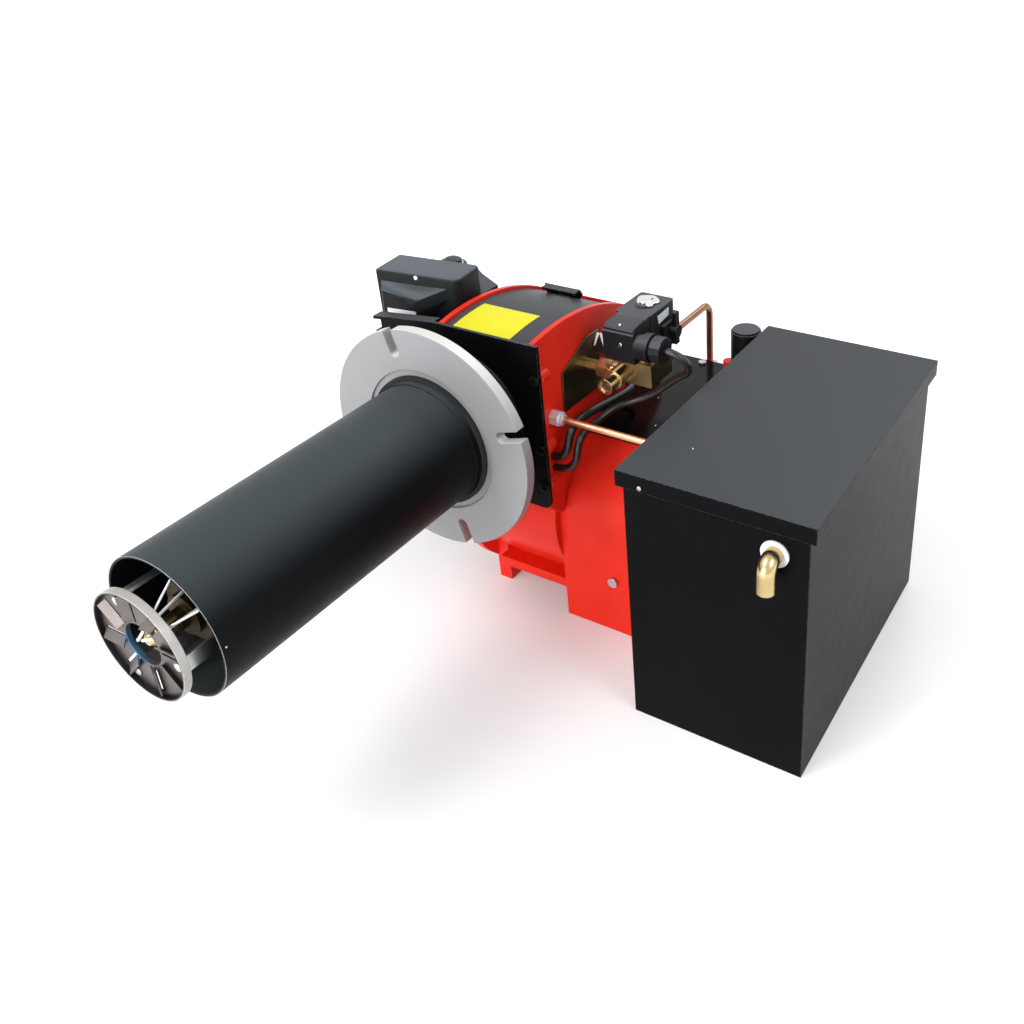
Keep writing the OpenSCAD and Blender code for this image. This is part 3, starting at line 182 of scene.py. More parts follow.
def area_lamp(name, place, target, size, power, colour):
    """A square soft lamp that faces a target."""
    data = bpy.data.lights.new(name, "AREA")
    data.shape = "SQUARE"
    data.size = size
    data.energy = power
    data.color = colour
    lamp = bpy.data.objects.new(name, data)
    bpy.context.collection.objects.link(lamp)
    lamp.location = place
    lamp.rotation_euler = (Vector(target) - Vector(place)).to_track_quat("-Z", "Y").to_euler()


for lamp_row in LAMPS:
    area_lamp(*lamp_row)

# %% [markdown]
# The burner stands on the tank, the casing and the feet, all at one level.
# The floor is a large pale sheet. Close to the burner it is plain paint, so that the
# soft shadow stays, and further out a glow for the looking rays lifts it to white.
# The helpers for a mesh, a material and its values serve all later pieces too.

# %% Floor
FLOOR_Z = CAD_LOW.z
FLOOR_GAP = 0.0005
FLOOR_HALF = 6.0
# The glow begins and is full at these distances, with these strengths.
GLOW_DISTANCES = (0.3, 1.6)
GLOW_STRENGTHS = (0.16, 1.0)
SQUARE = ((-1, -1), (1, -1), (1, 1), (-1, 1))


def mesh_object(name, verts, faces):
    """A mesh object from points and faces, linked to the scene."""
    data = bpy.data.meshes.new(name)
    data.from_pydata([tuple(v) for v in verts], [], faces)
    data.update()
    obj = bpy.data.objects.new(name, data)
    bpy.context.collection.objects.link(obj)
    return obj


def start_finish(name, base, metallic, rough, specular=0.5):
    """A material with its shader's plain values set, and the shader."""
    finish = bpy.data.materials.new(name)
    finish.use_nodes = True
    shader = finish.node_tree.nodes["Principled BSDF"]
    shader.inputs["Base Color"].default_value = (*base, 1)
    shader.inputs["Metallic"].default_value = metallic
    shader.inputs["Roughness"].default_value = rough
    shader.inputs["Specular IOR Level"].default_value = specular
    return finish, shader


def coordinates(finish, stretch=(1, 1, 1)):
    """The part's own coordinates, stretched along some axes."""
    place = add_node(finish, "ShaderNodeTexCoord")
    mapping = add_node(finish, "ShaderNodeMapping")
    mapping.inputs["Scale"].default_value = stretch
    join(finish, place.outputs["Object"], mapping.inputs["Vector"])
    return mapping.outputs["Vector"]


def spread(finish, value, start, end, low=0.0, high=1.0, curve="LINEAR"):
    """Takes a value's range from start to end over to low and high, and stops there."""
    node = add_node(finish, "ShaderNodeMapRange", {"interpolation_type": curve})
    for socket, number in (("From Min", start), ("From Max", end), ("To Min", low), ("To Max", high)):
        node.inputs[socket].default_value = number
    join(finish, value, node.inputs["Value"])
    return node.outputs["Result"]


floor_corners = [(x * FLOOR_HALF, y * FLOOR_HALF, FLOOR_Z - FLOOR_GAP) for x, y in SQUARE]
floor = mesh_object("floor", floor_corners, [(0, 1, 2, 3)])
pale_floor, floor_shader = start_finish("pale_floor", (0.86, 0.86, 0.86), 0.0, 0.9, 0.1)
distance = add_node(pale_floor, "ShaderNodeVectorMath", {"operation": "LENGTH"})
join(pale_floor, coordinates(pale_floor), distance.inputs[0])
rise = spread(pale_floor, distance.outputs["Value"], *GLOW_DISTANCES, *GLOW_STRENGTHS)
glow = combine(pale_floor, "MULTIPLY", rise, looking_ray(pale_floor))
floor_shader.inputs["Emission Color"].default_value = (1, 1, 1, 1)
join(pale_floor, glow, floor_shader.inputs["Emission Strength"])
floor.data.materials.append(pale_floor)
print("floor at z", round(FLOOR_Z, 4))

# %% [markdown]
# Every finish below is a small tree of nodes. These helpers keep the trees short: they
# give noise, a ramp, a blend of two colours, a bump, rounded edges, and masks for edges,
# which get wear and a painted highlight, and for faces that look up, which get painted
# light. All of them work in the part's own coordinates, so a finish has the same grain
# size on a screw as on the tank.

# %% Helpers for finishes
# How far an edge's rounded normal turns, as a cosine, where wear and painted highlight begin and are full.
WEAR_AND_HIGHLIGHT_FROM, WEAR_AND_HIGHLIGHT_FULL = 0.995, 0.86


def noise(finish, where, scale, detail, rough=0.6):
    """Grey noise from 0 to 1 at a number of cells per metre."""
    node = add_node(finish, "ShaderNodeTexNoise", Scale=scale, Detail=detail, Roughness=rough)
    join(finish, where, node.inputs["Vector"])
    return node.outputs["Fac"]


def ramp(finish, value, stops):
    """A colour ramp: stops are (position, colour or grey)."""
    node = add_node(finish, "ShaderNodeValToRGB")
    band = node.color_ramp
    while len(band.elements) < len(stops):
        band.elements.new(0.5)
    for element, (position, colour) in zip(band.elements, stops):
        element.position = position
        grey = (colour, colour, colour) if isinstance(colour, float) else colour
        element.color = (*grey, 1)
    join(finish, value, node.inputs["Fac"])
    return node.outputs["Color"]


def blend_colour(finish, amount, first, second):
    """Mixes two colours; each is a tuple or the output of a node."""
    node = add_node(finish, "ShaderNodeMix", {"data_type": "RGBA"})
    join(finish, amount, node.inputs[0])
    for socket, colour in ((node.inputs[6], first), (node.inputs[7], second)):
        if isinstance(colour, tuple):
            socket.default_value = (*colour, 1)
        else:
            join(finish, colour, socket)
    return node.outputs[2]


def scaled(finish, value, low, high):
    """Spreads a 0 to 1 value from low to high."""
    return spread(finish, value, 0.0, 1.0, low, high)


def bump(finish, height, depth, strength=1.0, under=None):
    """A bump of a real depth in metres, on top of another normal if one is given."""
    node = add_node(finish, "ShaderNodeBump", Strength=strength, Distance=depth)
    join(finish, height, node.inputs["Height"])
    if under is not None:
        join(finish, under, node.inputs["Normal"])
    return node.outputs["Normal"]


def soft_edges(finish, radius):
    """The surface's normal with its sharp edges rounded off by a radius in metres."""
    node = add_node(finish, "ShaderNodeBevel", {"samples": 4}, Radius=radius)
    return node.outputs["Normal"]


def edge_wear_and_highlight(finish, radius, where, grain=260.0):
    """A 0 to 1 mask along sharp edges, broken up by noise, for wear and a painted highlight."""
    plain = add_node(finish, "ShaderNodeNewGeometry")
    dot = add_node(finish, "ShaderNodeVectorMath", {"operation": "DOT_PRODUCT"})
    join(finish, soft_edges(finish, radius), dot.inputs[0])
    join(finish, plain.outputs["Normal"], dot.inputs[1])
    edge = spread(finish, dot.outputs["Value"], WEAR_AND_HIGHLIGHT_FROM, WEAR_AND_HIGHLIGHT_FULL)
    patch = ramp(finish, noise(finish, where, grain, 5.0), ((0.42, 0.0), (0.62, 1.0)))
    return combine(finish, "MULTIPLY", edge, patch)


def on_top(finish, base, painted_top_light, lowest=0.15):
    """Mixes a paler colour in where the surface looks up, from a lowest upward share: painted light from
    above.
    """
    surface = add_node(finish, "ShaderNodeNewGeometry")
    split = add_node(finish, "ShaderNodeSeparateXYZ")
    join(finish, surface.outputs["Normal"], split.inputs[0])
    share = spread(finish, split.outputs["Z"], lowest, 1.0, curve="SMOOTHSTEP")
    return blend_colour(finish, share, base, painted_top_light)


def toned(colour, factor=1.0, lift=0.0):
    """A colour times a factor plus a lift, held at 1."""
    return tuple(min(1.0, c * factor + lift) for c in colour)


def dress(finish, shader, base, gloss, roughness, relief):
    """Joins a colour, a gloss uneven between two roughnesses, and a relief to the shader."""
    low, high = roughness
    join(finish, base, shader.inputs["Base Color"])
    join(finish, scaled(finish, gloss, low, min(1.0, high)), shader.inputs["Roughness"])
    join(finish, relief, shader.inputs["Normal"])


print("finish helpers ready")

# %% [markdown]
# Most of the burner is paint on metal: satin black sheet, gloss black enamel and
# red enamel on castings. Paint has a fine orange-peel grain, patches that shine
# a little more or less, and dust. Its edges carry a thin bright line, partly rubbed paint
# and partly a painted highlight. A face that looks up is painted paler, as painted light.

# %% Paints
DUST_COLOUR = (0.55, 0.55, 0.53)


def dust_specks(finish, where, share):
    """A 0 to 1 mask of tiny round specks in a share of a pattern's cells."""
    cells = add_node(finish, "ShaderNodeTexVoronoi", Scale=150.0)
    join(finish, where, cells.inputs["Vector"])
    specks = ramp(finish, cells.outputs["Distance"], ((0.03, 1.0), (0.045, 0.0)))
    rare = ramp(finish, cells.outputs["Color"], ((1 - share, 0.0), (1.0 - share * 0.9, 1.0)))
    return combine(finish, "MULTIPLY", specks, rare)


def paint(name, colour, rough, specular, peel=0.00006, peel_size=900.0, blotch=0.12,
          wear_and_highlight=(0.35, 0.35, 0.36), wear_and_highlight_amount=0.25, edge=0.0012, dust=0.0,
          painted_top_light=None, painted_top_from=0.15):
    """Paint on metal: orange peel, uneven gloss, dust, rubbed edges with a painted highlight, painted top
    light.
    """
    finish, shader = start_finish(name, colour, 0.0, rough, specular)
    where = coordinates(finish)
    patches = noise(finish, where, 14.0, 5.0)
    base = ramp(finish, patches, ((0.35, toned(colour, 1 - blotch)), (0.65, toned(colour, 1 + blotch))))
    if dust > 0:
        base = blend_colour(finish, dust_specks(finish, where, dust), base, DUST_COLOUR)
    # Faces that look up are painted paler, as painted light from above.
    if painted_top_light is not None:
        base = on_top(finish, base, painted_top_light, painted_top_from)
    # Edges get a lighter colour: partly rubbed paint, partly a painted highlight.
    rubbed_and_highlight = scaled(finish, edge_wear_and_highlight(finish, edge, where), 0.0, wear_and_highlight_amount)
    base = blend_colour(finish, rubbed_and_highlight, base, wear_and_highlight)
    gloss = noise(finish, where, 55.0, 6.0, 0.7)
    relief = bump(finish, noise(finish, where, peel_size, 2.0), peel, 0.6, soft_edges(finish, edge))
    dress(finish, shader, base, gloss, (rough * 0.82, rough * 1.2), relief)
    return finish


# The black paints carry a painted top light: their faces that look up are paler.
FINISHES = {
    "tube_black": paint("tube_black", (0.004, 0.005, 0.006), 0.42, 0.06, peel=0.00008, dust=0.03,
                        wear_and_highlight_amount=0.06, painted_top_light=(0.052, 0.062, 0.067), painted_top_from=0.3),
    "sheet_black": paint("sheet_black", (0.003, 0.003, 0.0035), 0.36, 0.06, peel=0.00007,
                         painted_top_light=(0.064, 0.067, 0.072)),
    "tank_black": paint("tank_black", (0.002, 0.002, 0.0025), 0.34, 0.05, peel=0.00007,
                        painted_top_light=(0.060, 0.064, 0.069)),
    "gloss_black": paint("gloss_black", (0.003, 0.003, 0.003), 0.12, 0.12, peel=0.00003),
    # The red's edge colour is a lighter red, partly rubbed paint and partly a painted highlight.
    "red_paint": paint("red_paint", (0.80, 0.026, 0.012), 0.30, 0.15, peel=0.00025, peel_size=420.0,
                       blotch=0.08, wear_and_highlight=(0.90, 0.20, 0.10), wear_and_highlight_amount=0.5, edge=0.0016),
    "motor_paint": paint("motor_paint", (0.02, 0.021, 0.023), 0.4, 0.2, painted_top_light=(0.05, 0.05, 0.05)),
}
print("paints:", list(FINISHES))

# %% [markdown]
# Bare metals differ in how they were worked. A cast flange has a fine matt skin,
# zinc-plated steel is smooth with cloudy patches, and turned brass or drawn copper
# shows fine streaks and darker stains. One recipe covers them, with other numbers.

# %% Metals
def metal(name, colour, rough, stain, streak=(1, 1, 1), stain_size=30.0, grain_size=700.0,
          grain=0.00004, stain_amount=0.6, edge=0.0008, metallic=1.0, machined=None):
    """Bare metal: stains in the colour, streaks in the gloss and a fine grain.

    machined is a brighter colour painted on the faces that look up, a painted highlight.
    """
    finish, shader = start_finish(name, colour, metallic, rough)
    where = coordinates(finish)
    stains = ramp(finish, noise(finish, where, stain_size, 6.0, 0.65), ((0.38, 0.0), (0.72, 1.0)))
    base = blend_colour(finish, scaled(finish, stains, 0.0, stain_amount), colour, stain)
    # Faces that look up are painted paler: a painted highlight.
    if machined is not None:
        base = on_top(finish, base, machined, -0.15)
    # Edges are brighter: partly rubbed metal, partly a painted highlight.
    rubbed_and_highlight = scaled(finish, edge_wear_and_highlight(finish, edge, where), 0.0, 0.7)
    base = blend_colour(finish, rubbed_and_highlight, base, toned(colour, 1.25, 0.04))
    lines = noise(finish, coordinates(finish, streak), grain_size, 3.0, 0.7)
    relief = bump(finish, lines, grain, 0.5, soft_edges(finish, edge))
    dress(finish, shader, base, lines, (rough * 0.75, rough * 1.3), relief)
    return finish


FINISHES.update({
    # The flange's faces that look up are painted paler, as a painted highlight.
    "cast_aluminium": metal(
        "cast_aluminium", (0.30, 0.30, 0.315), 0.55, (0.24, 0.24, 0.255), stain_size=12.0,
        grain_size=1500.0, grain=0.00008, stain_amount=0.45, edge=0.0014, metallic=0.4,
        machined=(0.66, 0.67, 0.63),
    ),
    "steel": metal("steel", (0.60, 0.61, 0.63), 0.30, (0.42, 0.43, 0.45)),
    "dark_steel": metal("dark_steel", (0.10, 0.10, 0.11), 0.42, (0.05, 0.05, 0.05)),
    "brass": metal("brass", (0.64, 0.49, 0.24), 0.24, (0.45, 0.32, 0.14), streak=(1, 0.3, 1),
                   grain_size=300.0, grain=0.000008),
    # This brass is painted dark for the valve body: a painted shade for the shadow it stands in.
    "brass_painted_shade": metal("brass_painted_shade", (0.34, 0.26, 0.13), 0.34, (0.15, 0.11, 0.06)),
    "bronze_plate": metal("bronze_plate", (0.25, 0.19, 0.10), 0.30, (0.12, 0.09, 0.05), stain_size=45.0),
    "preheater": metal("preheater", (0.075, 0.055, 0.028), 0.45, (0.030, 0.026, 0.018), streak=(1, 0.1, 1)),
    "copper": metal("copper", (0.27, 0.14, 0.085), 0.32, (0.14, 0.075, 0.05), streak=(0.2, 1, 1)),
    "new_copper": metal("new_copper", (0.82, 0.40, 0.23), 0.34, (0.60, 0.24, 0.14), streak=(0.2, 1, 1)),
    "chrome": metal("chrome", (0.82, 0.82, 0.84), 0.08, (0.68, 0.68, 0.70), stain_amount=0.3),
    "bright_zinc": metal("bright_zinc", (0.74, 0.75, 0.78), 0.25, (0.60, 0.61, 0.64), metallic=0.35),
    "pump_iron": metal("pump_iron", (0.30, 0.30, 0.31), 0.5, (0.20, 0.19, 0.18)),
})
print("finishes so far:", len(FINISHES))

# %% [markdown]
# The diffuser disc sits in the flame, so its steel is tinted: brown-grey over most
# of the face, sooty inside the rim, and blue on one side of the hole, where it was
# hottest. The outside of the rim stays bright. The tint follows the distance from the
# tube's axis, which is the Y axis of the frame, so no picture is needed for it.

# %% Heat-tinted steel
# Distances from the tube's axis, in metres, where the tint and its blue begin and end.
TINT_FROM, TINT_TO = 0.016, 0.044
BLUE_FROM, BLUE_TO = 0.0095, 0.0150
BLUE_SIDE = (-0.85, 0.0, -0.53)
BLUE = (0.05, 0.14, 0.27)
SOOT = (0.06, 0.05, 0.05)


def heat_tinted(name):
    """Stainless steel with rings of temper colour round the Y axis."""
    finish, shader = start_finish(name, (0.18, 0.16, 0.15), 1.0, 0.36)
    where = coordinates(finish)
    reach = add_node(finish, "ShaderNodeVectorMath", {"operation": "LENGTH"})
    join(finish, coordinates(finish, (1, 0, 1)), reach.inputs[0])
    band = spread(finish, reach.outputs["Value"], TINT_FROM, TINT_TO)
    tint = ramp(finish, band, (
        (0.00, (0.12, 0.11, 0.11)), (0.30, (0.17, 0.15, 0.145)), (0.86, (0.15, 0.132, 0.125)),
        (0.92, (0.035, 0.034, 0.034)), (0.960, (0.035, 0.034, 0.034)), (0.985, (0.52, 0.51, 0.48)),
    ))
    cloud = noise(finish, where, 120.0, 5.0, 0.7)
    clouded = blend_colour(finish, scaled(finish, cloud, 0.0, 0.35), tint, SOOT)
    side = add_node(finish, "ShaderNodeVectorMath", {"operation": "DOT_PRODUCT"})
    join(finish, where, side.inputs[0])
    side.inputs[1].default_value = BLUE_SIDE
    hottest = spread(finish, side.outputs["Value"], BLUE_FROM, BLUE_TO, curve="SMOOTHSTEP")
    inner = ramp(finish, band, ((0.10, 1.0), (0.17, 0.0)))
    base = blend_colour(finish, combine(finish, "MULTIPLY", hottest, inner), clouded, BLUE)
    relief = bump(finish, cloud, 0.00005, 0.5, soft_edges(finish, 0.0007))
    dress(finish, shader, base, cloud, (0.36, 0.6), relief)
    return finish


FINISHES["diffuser_steel"] = heat_tinted("diffuser_steel")
print("heat tint made")

# %% [markdown]
# Mouldings and rubber are not metal: their colour is dark all through and only the
# gloss and the grain of the mould tell them apart. Ceramic is smooth and white.

# %% Plastics, rubber, ceramic and rope
MOULD_EDGE = 0.0009


def moulded(name, colour, rough, grain_size=1400.0, grain=0.00005, coat=0.0, blotch=0.15,
            specular=0.5, painted_top_light=None):
    """Moulded plastic, rubber or ceramic with a fine skin."""
    finish, shader = start_finish(name, colour, 0.0, rough, specular)
    shader.inputs["Coat Weight"].default_value = coat
    shader.inputs["Coat Roughness"].default_value = 0.1
    where = coordinates(finish)
    cloud = noise(finish, where, 25.0, 5.0)
    base = ramp(finish, cloud, ((0.3, toned(colour, 1 - blotch)), (0.7, toned(colour, 1 + blotch))))
    # Faces that look up are painted paler, as painted light from above.
    if painted_top_light is not None:
        base = on_top(finish, base, painted_top_light)
    # Edges are lighter: partly wear, partly a painted highlight.
    wear_and_highlight_mask = edge_wear_and_highlight(finish, MOULD_EDGE, where, 420.0)
    base = blend_colour(finish, wear_and_highlight_mask, base, toned(colour, lift=0.05))
    fine = noise(finish, where, grain_size, 2.0, 0.5)
    relief = bump(finish, fine, grain, 0.6, soft_edges(finish, MOULD_EDGE))
    dress(finish, shader, base, fine, (rough * 0.85, rough * 1.15), relief)
    return finish


# The black plastics carry a painted top light on the faces that look up.
FINISHES.update({
    "black_plastic": moulded("black_plastic", (0.008, 0.008, 0.009), 0.38, specular=0.12,
                             painted_top_light=(0.075, 0.080, 0.088)),
    "grey_plastic": moulded("grey_plastic", (0.008, 0.009, 0.010), 0.40, grain_size=2200.0,
                            specular=0.12, painted_top_light=(0.095, 0.110, 0.125)),
    "float_plastic": moulded("float_plastic", (0.02, 0.02, 0.022), 0.5),
    "rubber": moulded("rubber", (0.010, 0.010, 0.010), 0.33, grain=0.00003),
    "lead_blue": moulded("lead_blue", (0.20, 0.25, 0.36), 0.4),
    "washer_white": moulded("washer_white", (0.80, 0.80, 0.80), 0.4, blotch=0.04),
    "ceramic": moulded("ceramic", (0.84, 0.82, 0.76), 0.22, coat=0.4, blotch=0.06),
    "label_white": moulded("label_white", (0.72, 0.74, 0.76), 0.42, blotch=0.04),
    "label_yellow": moulded("label_yellow", (0.78, 0.71, 0.016), 0.42, blotch=0.05, specular=0.25),
})


def braided_rope(name):
    """Graphited seal rope: a fine slanting braid, dark and dull."""
    finish, shader = start_finish(name, (0.012, 0.012, 0.012), 0.0, 0.85, 0.3)
    braid = add_node(finish, "ShaderNodeTexWave", {"wave_type": "BANDS", "bands_direction": "DIAGONAL"},
                     Scale=190.0, Distortion=2.0, Detail=2.0)
    join(finish, coordinates(finish, (1, 1.6, 1)), braid.inputs["Vector"])
    strands = braid.outputs["Fac"]
    join(finish, ramp(finish, strands, ((0.2, 0.006), (0.9, 0.03))), shader.inputs["Base Color"])
    join(finish, bump(finish, strands, 0.0005), shader.inputs["Normal"])
    return finish


FINISHES["seal_rope"] = braided_rope("seal_rope")
print("finishes:", len(FINISHES))

# %% [markdown]
# Each CAD node already has the true shape. Its triangles are merged back into flat
# faces, its outer edges get a small real round, and it is shaded smooth up to an
# angle. All three are modifiers or flags, so the CAD mesh itself isn't changed.
# A node takes the finish of its slot, apart from a few that look different.

# %% Finish the CAD nodes
# The width of each node's edge rounds, in millimetres.
ROUND_EDGES = {
    "mounting_flange": 1.2, "air_housing": 1.2, "side_casing": 1.6, "tank_lid": 0.9, "tank_body": 1.2,
    "front_plate": 0.5, "control_box": 1.2, "solenoid_coil": 0.8, "din_plug": 0.9, "casing_lid": 0.5,
    "fitting_plate": 0.4, "brass_tee": 0.6, "valve_body": 2.6, "electrics_shelf": 0.4, "cable_gland": 0.7,
    "cover_bracket": 0.3, "capacitor": 1.0, "pipe_nuts": 0.5, "tank_elbow": 0.5, "motor_shell": 0.5,
    "motor_end_cap": 1.5, "valve_lever": 0.5, "blast_tube": 0.4, "plate_screws": 0.5, "casing_screws": 0.5,
    "flange_screws": 0.3, "oil_heater": 0.5, "air_damper": 0.5, "nozzle": 0.3, "preheater_block": 0.8,
    "disc_struts": 0.3, "flame_sensor": 0.8, "elbow_washer": 0.4,
}
SLOT_OF = {row["node"]: row["material_slot"] for row in frame["record"]["subparts"]}
# Nodes whose finish differs from that of their slot. The valve body's darker brass is a painted shade.
OWN_FINISH = {"tank_body": "tank_black", "tank_lid": "tank_black", "oil_pipe": "new_copper",
              "pipe_nuts": "bright_zinc", "plate_screws": "gloss_black", "valve_body": "brass_painted_shade"}
SMOOTH_UP_TO = math.radians(28)
SHARP_FROM = math.radians(32)
FLAT_WITHIN = math.radians(0.4)


def shade_by_angle(obj):
    """Smooth shading with sharp edges wherever two faces meet at more than the limit."""
    work = bmesh.new()
    work.from_mesh(obj.data)
    for face in work.faces:
        face.smooth = True
    for edge in work.edges:
        edge.smooth = edge.is_manifold and edge.calc_face_angle(0.0) < SMOOTH_UP_TO
    work.to_mesh(obj.data)
    work.free()


def round_edges(obj, width):
    """Merges flat triangles and rounds the sharp edges, with modifiers."""
    merge = obj.modifiers.new("merge_flat", "DECIMATE")
    merge.decimate_type = "DISSOLVE"
    merge.angle_limit = FLAT_WITHIN
    rounding = obj.modifiers.new("round_edges", "BEVEL")
    rounding.width = width * MM
    rounding.segments = 2
    rounding.limit_method = "ANGLE"
    rounding.angle_limit = SHARP_FROM
    rounding.use_clamp_overlap = True
    rounding.harden_normals = True
    rounding.miter_outer = "MITER_ARC"


for name, obj in NODES.items():
    obj.data.materials.clear()
    obj.data.materials.append(FINISHES[OWN_FINISH.get(name, SLOT_OF[name])])
    shade_by_angle(obj)
    if name in ROUND_EDGES:
        round_edges(obj, ROUND_EDGES[name])
print("nodes finished:", len(NODES))

# %% [markdown]
# The rest of this lesson adds what gives the burner its look close up: cables,
# mouldings, labels, screws and trim. All points are given in millimetres in the
# burner's frame. Three cables hang between housings: the lead of the valve, the loom
# along the channel and the short ignition lead. Here is the middle line of each, from
# its exit to its far end, which is the line that the CAD tubes follow too.

# %% Cable routes
VALVE_ROUTE = [
    (167, 121, 71), (170.5, 121, 71), (174, 121, 71), (180.6, 121.6, 69.7),
    (185.9, 123.3, 66), (189, 125.8, 60.6), (189.3, 128.6, 54.5), (186.7, 131.3, 48.9),
    (181.8, 133.1, 44.6), (173.5, 134.6, 38.4), (165.5, 135.4, 31.4), (157.8, 135.6, 24.4),
    (150, 135, 17.8), (142, 133.6, 12.6), (134, 131.4, 8.8), (126.8, 128.2, 5.8),
    (120.4, 123.6, 3.2), (115.4, 117.6, 0.8), (112, 110.6, -1.6), (109.8, 104, -3.6),
    (108.6, 97, -5), (108, 90.5, -5.2), (108, 84.5, -5.6), (108, 78.8, -7.2),
    (108, 73.9, -10.4), (108, 70.5, -15.2), (107.6, 69, -21), (106, 68.4, -28.3),
    (101.6, 68, -35.4), (94.6, 68, -40.3), (86.5, 68, -42), (82.4, 68, -42),
]
LOOM_ROUTE = [
    (82.4, 184, -8), (85.2, 184, -8), (91.2, 182.8, -8), (96.4, 179.3, -8),
    (99.8, 174, -8), (101, 168, -8), (101, 159, -7.3), (101, 150, -6),
    (101, 140, -4.4), (101, 130, -2.6), (101, 120, -0.9), (100.8, 110, 0.6),
    (100.6, 100, 1.7), (100.5, 91.5, 2.1), (100.5, 83.2, 1.9), (100.5, 77, 0.7),
    (100.5, 71.9, -2.8), (100.4, 68.5, -8), (99.6, 67.2, -14.2), (97.4, 67, -20.5),
    (93.4, 67, -25.9), (88.2, 67, -29.1), (84.4, 67, -30), (82.4, 67, -30),
]
LEAD_ROUTE = [
    (-38, 90.9, 66), (-38, 87.8, 66.3), (-38, 84, 67), (-38, 79.6, 68.6),
    (-36.8, 75.3, 70.8), (-34.2, 71.7, 73.1), (-30.4, 69.2, 75.2),
    (-25.8, 68, 76.9), (-21.3, 67.8, 78),
]
print("route points:", len(VALVE_ROUTE), len(LOOM_ROUTE), len(LEAD_ROUTE))

# %% [markdown]
# The CAD tubes have a ring every few millimetres, which shows as kinks. Here the same
# points carry a smooth cubic curve, thickened by the curve's own bevel, which bends as
# evenly as rubber does. Both ends are held, so the length is the route's own.

# %% Cables
def spline_points(points, steps):
    """Points of a smooth cubic curve from the second point to the last but one."""
    line = []
    for a, b, c, d in zip(points, points[1:], points[2:], points[3:]):
        for step in range(steps):
            t = step / steps
            line.append(0.5 * (
                2 * b + (c - a) * t + (2 * a - 5 * b + 4 * c - d) * t ** 2
                + (3 * b - a - 3 * c + d) * t ** 3
            ))
    return line


def smooth_line(route, steps=6):
    """A smooth line from the first point of a route to its last."""
    points = [Vector(p) for p in route]
    before = points[0] * 2 - points[1]
    after = points[-1] * 2 - points[-2]
    return spline_points([before, *points, after], steps) + [points[-1]]


def cable(name, route, diameter, finish, node):
    """A cable held at both ends, as a thick curve that stands for its CAD tube."""
    line = [point * MM for point in smooth_line(route)]
    data = bpy.data.curves.new(name, "CURVE")
    data.dimensions = "3D"
    data.bevel_depth = diameter * MM / 2
    data.bevel_resolution = 6
    data.use_fill_caps = True
    spline = data.splines.new("POLY")
    spline.points.add(len(line) - 1)
    for knot, point in zip(spline.points, line):
        knot.co = (*point, 1)
    spline.use_smooth = True
    obj = bpy.data.objects.new(name, data)
    bpy.context.collection.objects.link(obj)
    data.materials.append(FINISHES[finish])
    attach(obj, "burner")
    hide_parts(node)


cable("valve_lead", VALVE_ROUTE, 7, "rubber", "valve_cable")
cable("channel_loom", LOOM_ROUTE, 8, "rubber", "cable_loom")
cable("spark_lead", LEAD_ROUTE, 5, "lead_blue", "ignition_lead")

# %% [markdown]
# Each rigid piece is a mesh made from its own points, and rides on the burner's body.
# Two shapes make nearly all of them: a loft, which is a skin through a row of rings,
# and later a lathe, which turns a profile. A rounded outline is the usual ring.

# %% Helpers for pieces
UP = (0, 0, 1)
TO_FRONT = (0, -1, 0)


def new_piece(name, verts, faces, finish, slot=None):
    """A piece from points in millimetres, finished and riding on the burner."""
    obj = mesh_object(name, [Vector(v) * MM for v in verts], faces)
    work = bmesh.new()
    work.from_mesh(obj.data)
    bmesh.ops.recalc_face_normals(work, faces=work.faces)
    work.to_mesh(obj.data)
    work.free()
    obj.data.materials.append(FINISHES[finish])
    shade_by_angle(obj)
    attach(obj, "burner")
    return obj


def skin(rings, closed=False):
    """Points and faces through rings of the same number of points, closed to a loop or not."""
    count = len(rings[0])
    verts = [point for ring in rings for point in ring]
    faces = []
    for row in range(len(rings) if closed else len(rings) - 1):
        here, there = row * count, (row + 1) % len(rings) * count
        for i in range(count):
            j = (i + 1) % count
            faces.append((here + i, here + j, there + j, there + i))
    return verts, faces


def loft(rings):
    """A skin through rings with a face over each end."""
    verts, sides = skin(rings)
    count = len(rings[0])
    ends = [tuple(range(count)), tuple(range(len(verts) - count, len(verts)))]
    return verts, ends + sides


def together(*parts):
    """One list of points and one of faces from several."""
    verts, faces = [], []
    for more_verts, more_faces in parts:
        start = len(verts)
        verts += list(more_verts)
        faces += [tuple(start + i for i in face) for face in more_faces]
    return verts, faces


def rounded_outline(corners, radii, steps=5):
    """A closed outline in a plane with its corners rounded by radii."""
    outline = []
    count = len(corners)
    for i, (corner, radius) in enumerate(zip(corners, radii)):
        here = Vector(corner)
        back = (Vector(corners[i - 1]) - here).normalized()
        on = (Vector(corners[(i + 1) % count]) - here).normalized()
        half = back.angle(on) / 2
        reach = radius / math.tan(half)
        centre = here + (back + on).normalized() * (radius / math.sin(half))
        first, last = here + back * reach - centre, here + on * reach - centre
        for step in range(steps + 1):
            mixed = first.lerp(last, step / steps)
            outline.append(tuple(centre + mixed.normalized() * radius))
    return outline


print("piece helpers ready")

# %% [markdown]
# The ignition transformer is a moulded case, a little turned on its shelf. Its plan is
# a rectangle with one large round corner, drawn in a little towards the top edge.
# Lofting a rounded outline through a few heights gives that, with soft edges that
# catch the light as real mouldings do.

# %% Transformer case
TRAFO_CENTRE = Vector((-75.6, 107.1, 0))
TRAFO_TURN = Matrix.Rotation(math.radians(7), 3, "Z")
TRAFO_HALF = (45.75, 20)
TRAFO_FRONT = -TRAFO_HALF[1]
CASE_CORNERS = (2.5, 7.0, 6.0, 2.5)
SMALLEST_CORNER = 0.6
